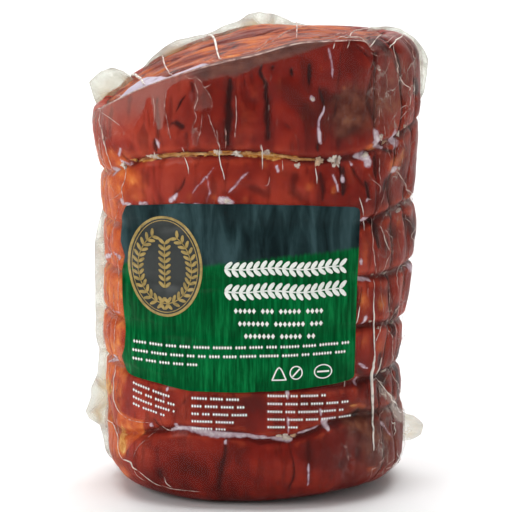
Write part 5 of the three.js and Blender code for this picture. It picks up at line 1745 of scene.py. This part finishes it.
def band_shape(path, width):
    """A flat band of even width along points of x and z."""
    path = smoothed_path(path, 1.0)
    ahead = np.gradient(path, axis=0)
    ahead = ahead / np.linalg.norm(ahead, axis=1)[:, None]
    across = np.stack([-ahead[:, 1], ahead[:, 0]], axis=-1) * width / 2
    both = np.concatenate([path - across, path + across])
    count = len(path)
    faces = [(i, i + 1, count + i + 1, count + i) for i in range(count - 1)]
    return np.stack([both[:, 0], 0 * both[:, 0], both[:, 1]], axis=-1), faces


def gather(shapes):
    points, faces = [], []
    for made, sides in shapes:
        start = sum(len(p) for p in points)
        points.append(made)
        faces += [[int(v) + start for v in face] for face in sides]
    return np.concatenate(points), faces


EMBLEM = (-45.5, 123.5)  # middle of the medallion
PALE_LIFT, GOLD_LIFT, DISC_LIFT = 0.32, 0.34, 0.24


def arc(cx, cz, radius, start, end, count=26, squash=1.0):
    turn = np.radians(np.linspace(start, end, count))
    return [(cx + radius * math.cos(t), 0.0, cz + squash * radius * math.sin(t)) for t in turn]


def add_sprigs(name, paths, sizes, material, lift):
    """Grows sprigs on flat paths in millimetres, then lays them on the printed film."""
    source = path_mesh(name, [np.array(path) * MM for path in paths], closed=False)
    made = grown(source, sprig_tree(material), sizes, name)
    count = len(made.data.vertices)
    flat = np.zeros(count * 3)
    made.data.vertices.foreach_get("co", flat)
    laid = metres(wrapped(flat.reshape(-1, 3) / MM, lift))
    made.data.vertices.foreach_set("co", laid.ravel())
    made.data.update()
    return made


def build_marks(settings):
    pale = mark_ink("pale_ink", settings.pale_colour[:], linear("#c9d2cb"), 0.4)
    gold = mark_ink("gold_ink", settings.gold_colour[:], linear("#6b5a28"), 0.7)
    dark = mark_ink("dark_ink", linear("#0c1512"), linear("#15221d"), 0.5)
    cx, cz = EMBLEM

    friezes = []
    for z in (124.0, 112.5):
        friezes.append([(x, 0.0, z + 0.5 * math.sin(x / 5)) for x in np.arange(-15.5, 42.5, 1.0)])
    leaves = add_sprigs("print_sprigs", friezes, {
        "Leaf length": 0.0052, "Leaf width": 0.0022, "Spacing": 0.0034, "Stem radius": 0.0004}, pale, PALE_LIFT)

    chance = np.random.RandomState(31)
    rows = []
    for i, (x0, x1) in enumerate(((-11, 33.5), (-9, 33), (-6, 28))):
        rows.append((x0, x1, 101.5 - i * 6.6, 2.9, 2.0, -0.012))
    for i, (x0, x1) in enumerate(((-62, 45.5), (-62.5, 44), (-62.5, -30))):
        rows.append((x0, x1, 82.4 - i * 4.4, 1.9, 1.25, 0.014))
    for i in range(4):
        rows.append((-62.4, (-43, -41.5, -41, -46)[i], 60.7 - i * 3.5, 1.7, 1.15, -0.2))
    for i in range(5):
        rows.append((-32.4, (-9, -6, -5, -11, -14)[i], 56.8 - i * 3.9, 1.8, 1.2, -0.01))
    for i in range(5):
        rows.append((5.6, (35, 46, 44, 47, 20)[i], 58.6 - i * 4.0, 1.7, 1.15, -0.03))
    lozenges = lozenge_rows(rows, chance)
    icons = [
        ring_shape(33.5, 71, 4.6, 3.8, 0.6),
        ring_shape(20, 71, 3.3, 3.6, 0.6),
        band_shape([(8, 67.5), (11.5, 74), (15, 67.5)], 0.7),
        band_shape([(15.2, 67.5), (7.8, 67.5)], 0.7),
        band_shape([(30.5, 71), (36.5, 71)], 0.9),
        band_shape([(18.2, 69), (21.8, 73)], 0.8),
    ]
    points, faces = gather([lozenges, *icons])
    small = make_piece("print_rows", wrapped(points, PALE_LIFT), faces, pale)

    disc = disc_shape(cx, cz, 18.6, 25)
    points, faces = gather([disc])
    plate = make_piece("print_plate", wrapped(points, DISC_LIFT), faces, dark)

    wreath = [arc(cx, cz - 1, 13.6, -100, 62, squash=1.3), arc(cx, cz - 1, 13.6, 280, 118, squash=1.3)]
    centre = [[(cx, 0.0, z) for z in np.arange(cz - 11, cz + 11.5, 0.8)]]
    branches = add_sprigs("print_wreath", wreath + centre, {
        "Leaf length": 0.0042, "Leaf width": 0.0017, "Spacing": 0.0031, "Stem radius": 0.0003}, gold, GOLD_LIFT)
    points, faces = gather([ring_shape(cx, cz, 19, 25.4, 1.3), ring_shape(cx, cz, 16.9, 23.3, 0.4)])
    rings = make_piece("print_rings", wrapped(points, GOLD_LIFT), faces, gold)
    return leaves, small, plate, branches, rings


# ---- Stage


def aim(thing, spot):
    direction = np.array(spot) - np.array(thing.location)
    flat = math.hypot(direction[0], direction[1])
    thing.rotation_euler = (
        math.atan2(flat, -direction[2]), 0, math.atan2(direction[1], direction[0]) - math.pi / 2)


def soft_light(name, place, spot, size, power):
    lamp = bpy.data.lights.new(name, "AREA")
    lamp.shape = "RECTANGLE"
    lamp.size, lamp.size_y = size
    lamp.energy = power
    made = bpy.data.objects.new(name, lamp)
    bpy.context.scene.collection.objects.link(made)
    made.location = place
    aim(made, spot)
    return made


def build_stage(settings):
    scene = bpy.context.scene
    across = np.linspace(-4, 4, 9)
    turn = np.linspace(0, TURN / 4, 16)
    run = [(-4.0, 0.0)] + [(1.6 + 1.2 * math.sin(t), 1.2 - 1.2 * math.cos(t)) for t in turn] + [(2.8, 4.5)]
    points = [(x, y, z) for y, z in run for x in across]
    mesh = bpy.data.meshes.new("seamless_floor")
    mesh.from_pydata(points, [], sheet_faces(len(run), len(across)).tolist())
    mesh.polygons.foreach_set("use_smooth", np.ones(len(mesh.polygons), bool))
    mesh.materials.append(studio_floor(settings))
    floor = bpy.data.objects.new("seamless_floor", mesh)
    scene.collection.objects.link(floor)

    target = (-CENTRE[0] * MM, -CENTRE[1] * MM, 0.1178)
    lens = bpy.data.cameras.new("camera")
    lens.lens = 196.0
    lens.sensor_width = 36.0
    lens.clip_end = 20.0
    camera = bpy.data.objects.new("camera", lens)
    scene.collection.objects.link(camera)
    rise = math.radians(10)
    far = settings.camera_distance
    camera.location = (target[0], target[1] - far * math.cos(rise), target[2] + far * math.sin(rise))
    aim(camera, target)
    scene.camera = camera

    soft_light("key_light", (-1.4, -1.3, 1.0), (0, 0, 0.12), (1.0, 1.0), 15 * settings.light)
    soft_light("fill_light", (1.5, -1.3, 0.8), (0, 0, 0.12), (1.0, 1.2), 4 * settings.light)
    soft_light("top_light", (0.0, 0.1, 1.7), (0, 0, 0.0), (1.8, 1.4), 24 * settings.light)
    soft_light("backdrop_light", (0.0, 2.0, 2.4), (0, 2.3, 0.0), (3.0, 1.0), 60 * settings.light)
    world = bpy.data.worlds.new("studio_air")
    world.use_nodes = True
    air = world.node_tree.nodes["Background"]
    air.inputs["Color"].default_value = (1, 1, 1, 1)
    air.inputs["Strength"].default_value = 0.3
    scene.world = world
    scene.view_settings.view_transform = "Standard"


# ---- Settings, operators and panel


def colour_setting(name, description, hex_text):
    return bpy.props.FloatVectorProperty(
        name=name, description=description, subtype="COLOR", size=4, min=0, max=1, default=linear(hex_text))


def size_setting(name, description, default, low, high):
    return bpy.props.FloatProperty(
        name=name, description=description, default=default, min=low, max=high, subtype="DISTANCE", unit="LENGTH")


class PORCHETTA_PG_meat(bpy.types.PropertyGroup):
    """Sizes and colours of the roast, its string and its fat."""

    rind_colour: colour_setting("Rind", "Colour of the roasted rind", "#7a1d13")
    fat_glow_colour: colour_setting("Fat glow", "Colour of the rind where fat shines through", "#c85f2d")
    flesh_colour: colour_setting("Flesh", "Colour of the torn flesh at the upper end", "#a04318")
    fat_colour: colour_setting("Set fat", "Colour of the set fat", "#c8bbb0")
    string_colour: colour_setting("String", "Colour of the soaked string", "#b98242")
    fibre_height: size_setting("Fibre height", "How far the torn fibres stand up", 0.0014, 0, 0.004)
    string_diameter: size_setting("String diameter", "Thickness of the string", 2 * STRING_RADIUS * MM, 0.001, 0.004)
    string_lay: size_setting("String lay", "Length of one full twist of the string", 0.006, 0.002, 0.02)


class PORCHETTA_PG_bag(bpy.types.PropertyGroup):
    """Sizes and colours of the film and its print."""

    veil_colour: colour_setting("Veil", "Colour of film that hangs off the rind", "#b8988f")
    milky_colour: colour_setting("Milky film", "Colour of film that stands off the meat", "#d8d8d0")
    haze: bpy.props.FloatProperty(
        name="Haze", description="How milky the hanging film is", default=0.22, min=0, max=1, subtype="FACTOR")
    crease_thickness: size_setting(
        "Crease thickness", "Thickness that all folds of the film scale with", 0.001, 0.0001, 0.003)
    slate_colour: colour_setting("Slate", "Upper colour of the printed field", "#213436")
    green_colour: colour_setting("Green", "Lower colour of the printed field", "#005c2c")
    gold_colour: colour_setting("Gold", "Colour of the medallion", "#a98f4b")
    pale_colour: colour_setting("Pale", "Colour of the pale marks", "#eef0ea")


class PORCHETTA_PG_stage(bpy.types.PropertyGroup):
    """Floor, camera and light."""

    floor_colour: colour_setting("Floor", "Colour of the floor", "#f4f4f4")
    camera_distance: size_setting("Camera distance", "From the camera to the middle of the pack", 1.45, 0.3, 5)
    light: bpy.props.FloatProperty(
        name="Light", description="Strength of all lights", default=1.0, min=0, max=5, subtype="FACTOR")


def settle(piece):
    """Ties a finished piece to the pack's body."""
    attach(piece, "root")
    return piece


class PORCHETTA_OT_roast(bpy.types.Operator):
    """Add the rolled roast with its torn end"""

    bl_idname = "porchetta.roast"
    bl_label = "Roast"

    def execute(self, context):
        for piece in build_roast(context.scene.porchetta_meat):
            settle(piece)
            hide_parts("vacuum_pack")
        return {"FINISHED"}


class PORCHETTA_OT_string(bpy.types.Operator):
    """Add the six loops of string"""

    bl_idname = "porchetta.string"
    bl_label = "String"

    def execute(self, context):
        settle(build_string(context.scene.porchetta_meat))
        return {"FINISHED"}


class PORCHETTA_OT_fat(bpy.types.Operator):
    """Add the set fat along the string"""

    bl_idname = "porchetta.fat"
    bl_label = "Set fat"

    def execute(self, context):
        settle(build_fat(context.scene.porchetta_meat))
        return {"FINISHED"}


class PORCHETTA_OT_film(bpy.types.Operator):
    """Add the clinging film, its creases and its loose edges"""

    bl_idname = "porchetta.film"
    bl_label = "Film"

    def execute(self, context):
        settings = context.scene.porchetta_bag
        for build in (build_film, build_creases, build_loose_film):
            piece = settle(build(settings))
            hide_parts("vacuum_pack")
        return {"FINISHED"}


class PORCHETTA_OT_print(bpy.types.Operator):
    """Add the printed field and its marks"""

    bl_idname = "porchetta.print"
    bl_label = "Print"

    def execute(self, context):
        settings = context.scene.porchetta_bag
        settle(build_field(settings))
        for piece in build_marks(settings):
            settle(piece)
        return {"FINISHED"}


class PORCHETTA_OT_stage(bpy.types.Operator):
    """Add the floor, camera and lights"""

    bl_idname = "porchetta.stage"
    bl_label = "Stage"

    def execute(self, context):
        build_stage(context.scene.porchetta_stage)
        return {"FINISHED"}


OPERATORS = (
    PORCHETTA_OT_stage,
    PORCHETTA_OT_roast,
    PORCHETTA_OT_string,
    PORCHETTA_OT_fat,
    PORCHETTA_OT_film,
    PORCHETTA_OT_print,
)


class PORCHETTA_PT_panel(bpy.types.Panel):
    """Settings and builders of the pack"""

    bl_label = "Porchetta"
    bl_idname = "PORCHETTA_PT_panel"
    bl_space_type = "VIEW_3D"
    bl_region_type = "UI"
    bl_category = "Porchetta"

    def draw(self, context):
        for group in (context.scene.porchetta_meat, context.scene.porchetta_bag, context.scene.porchetta_stage):
            box = self.layout.box()
            for name in group.__annotations__:
                box.prop(group, name)
        for operator in OPERATORS:
            self.layout.operator(operator.bl_idname)


CLASSES = (PORCHETTA_PG_meat, PORCHETTA_PG_bag, PORCHETTA_PG_stage, *OPERATORS, PORCHETTA_PT_panel)


def register():
    for cls in CLASSES:
        bpy.utils.register_class(cls)
    bpy.types.Scene.porchetta_meat = bpy.props.PointerProperty(type=PORCHETTA_PG_meat)
    bpy.types.Scene.porchetta_bag = bpy.props.PointerProperty(type=PORCHETTA_PG_bag)
    bpy.types.Scene.porchetta_stage = bpy.props.PointerProperty(type=PORCHETTA_PG_stage)


def unregister():
    del bpy.types.Scene.porchetta_stage
    del bpy.types.Scene.porchetta_bag
    del bpy.types.Scene.porchetta_meat
    for cls in reversed(CLASSES):
        bpy.utils.unregister_class(cls)


def main():
    register()
    bpy.ops.porchetta.stage()
    bpy.ops.porchetta.roast()
    bpy.ops.porchetta.string()
    bpy.ops.porchetta.fat()
    bpy.ops.porchetta.film()
    bpy.ops.porchetta.print()


if __name__ == "__main__":
    main()
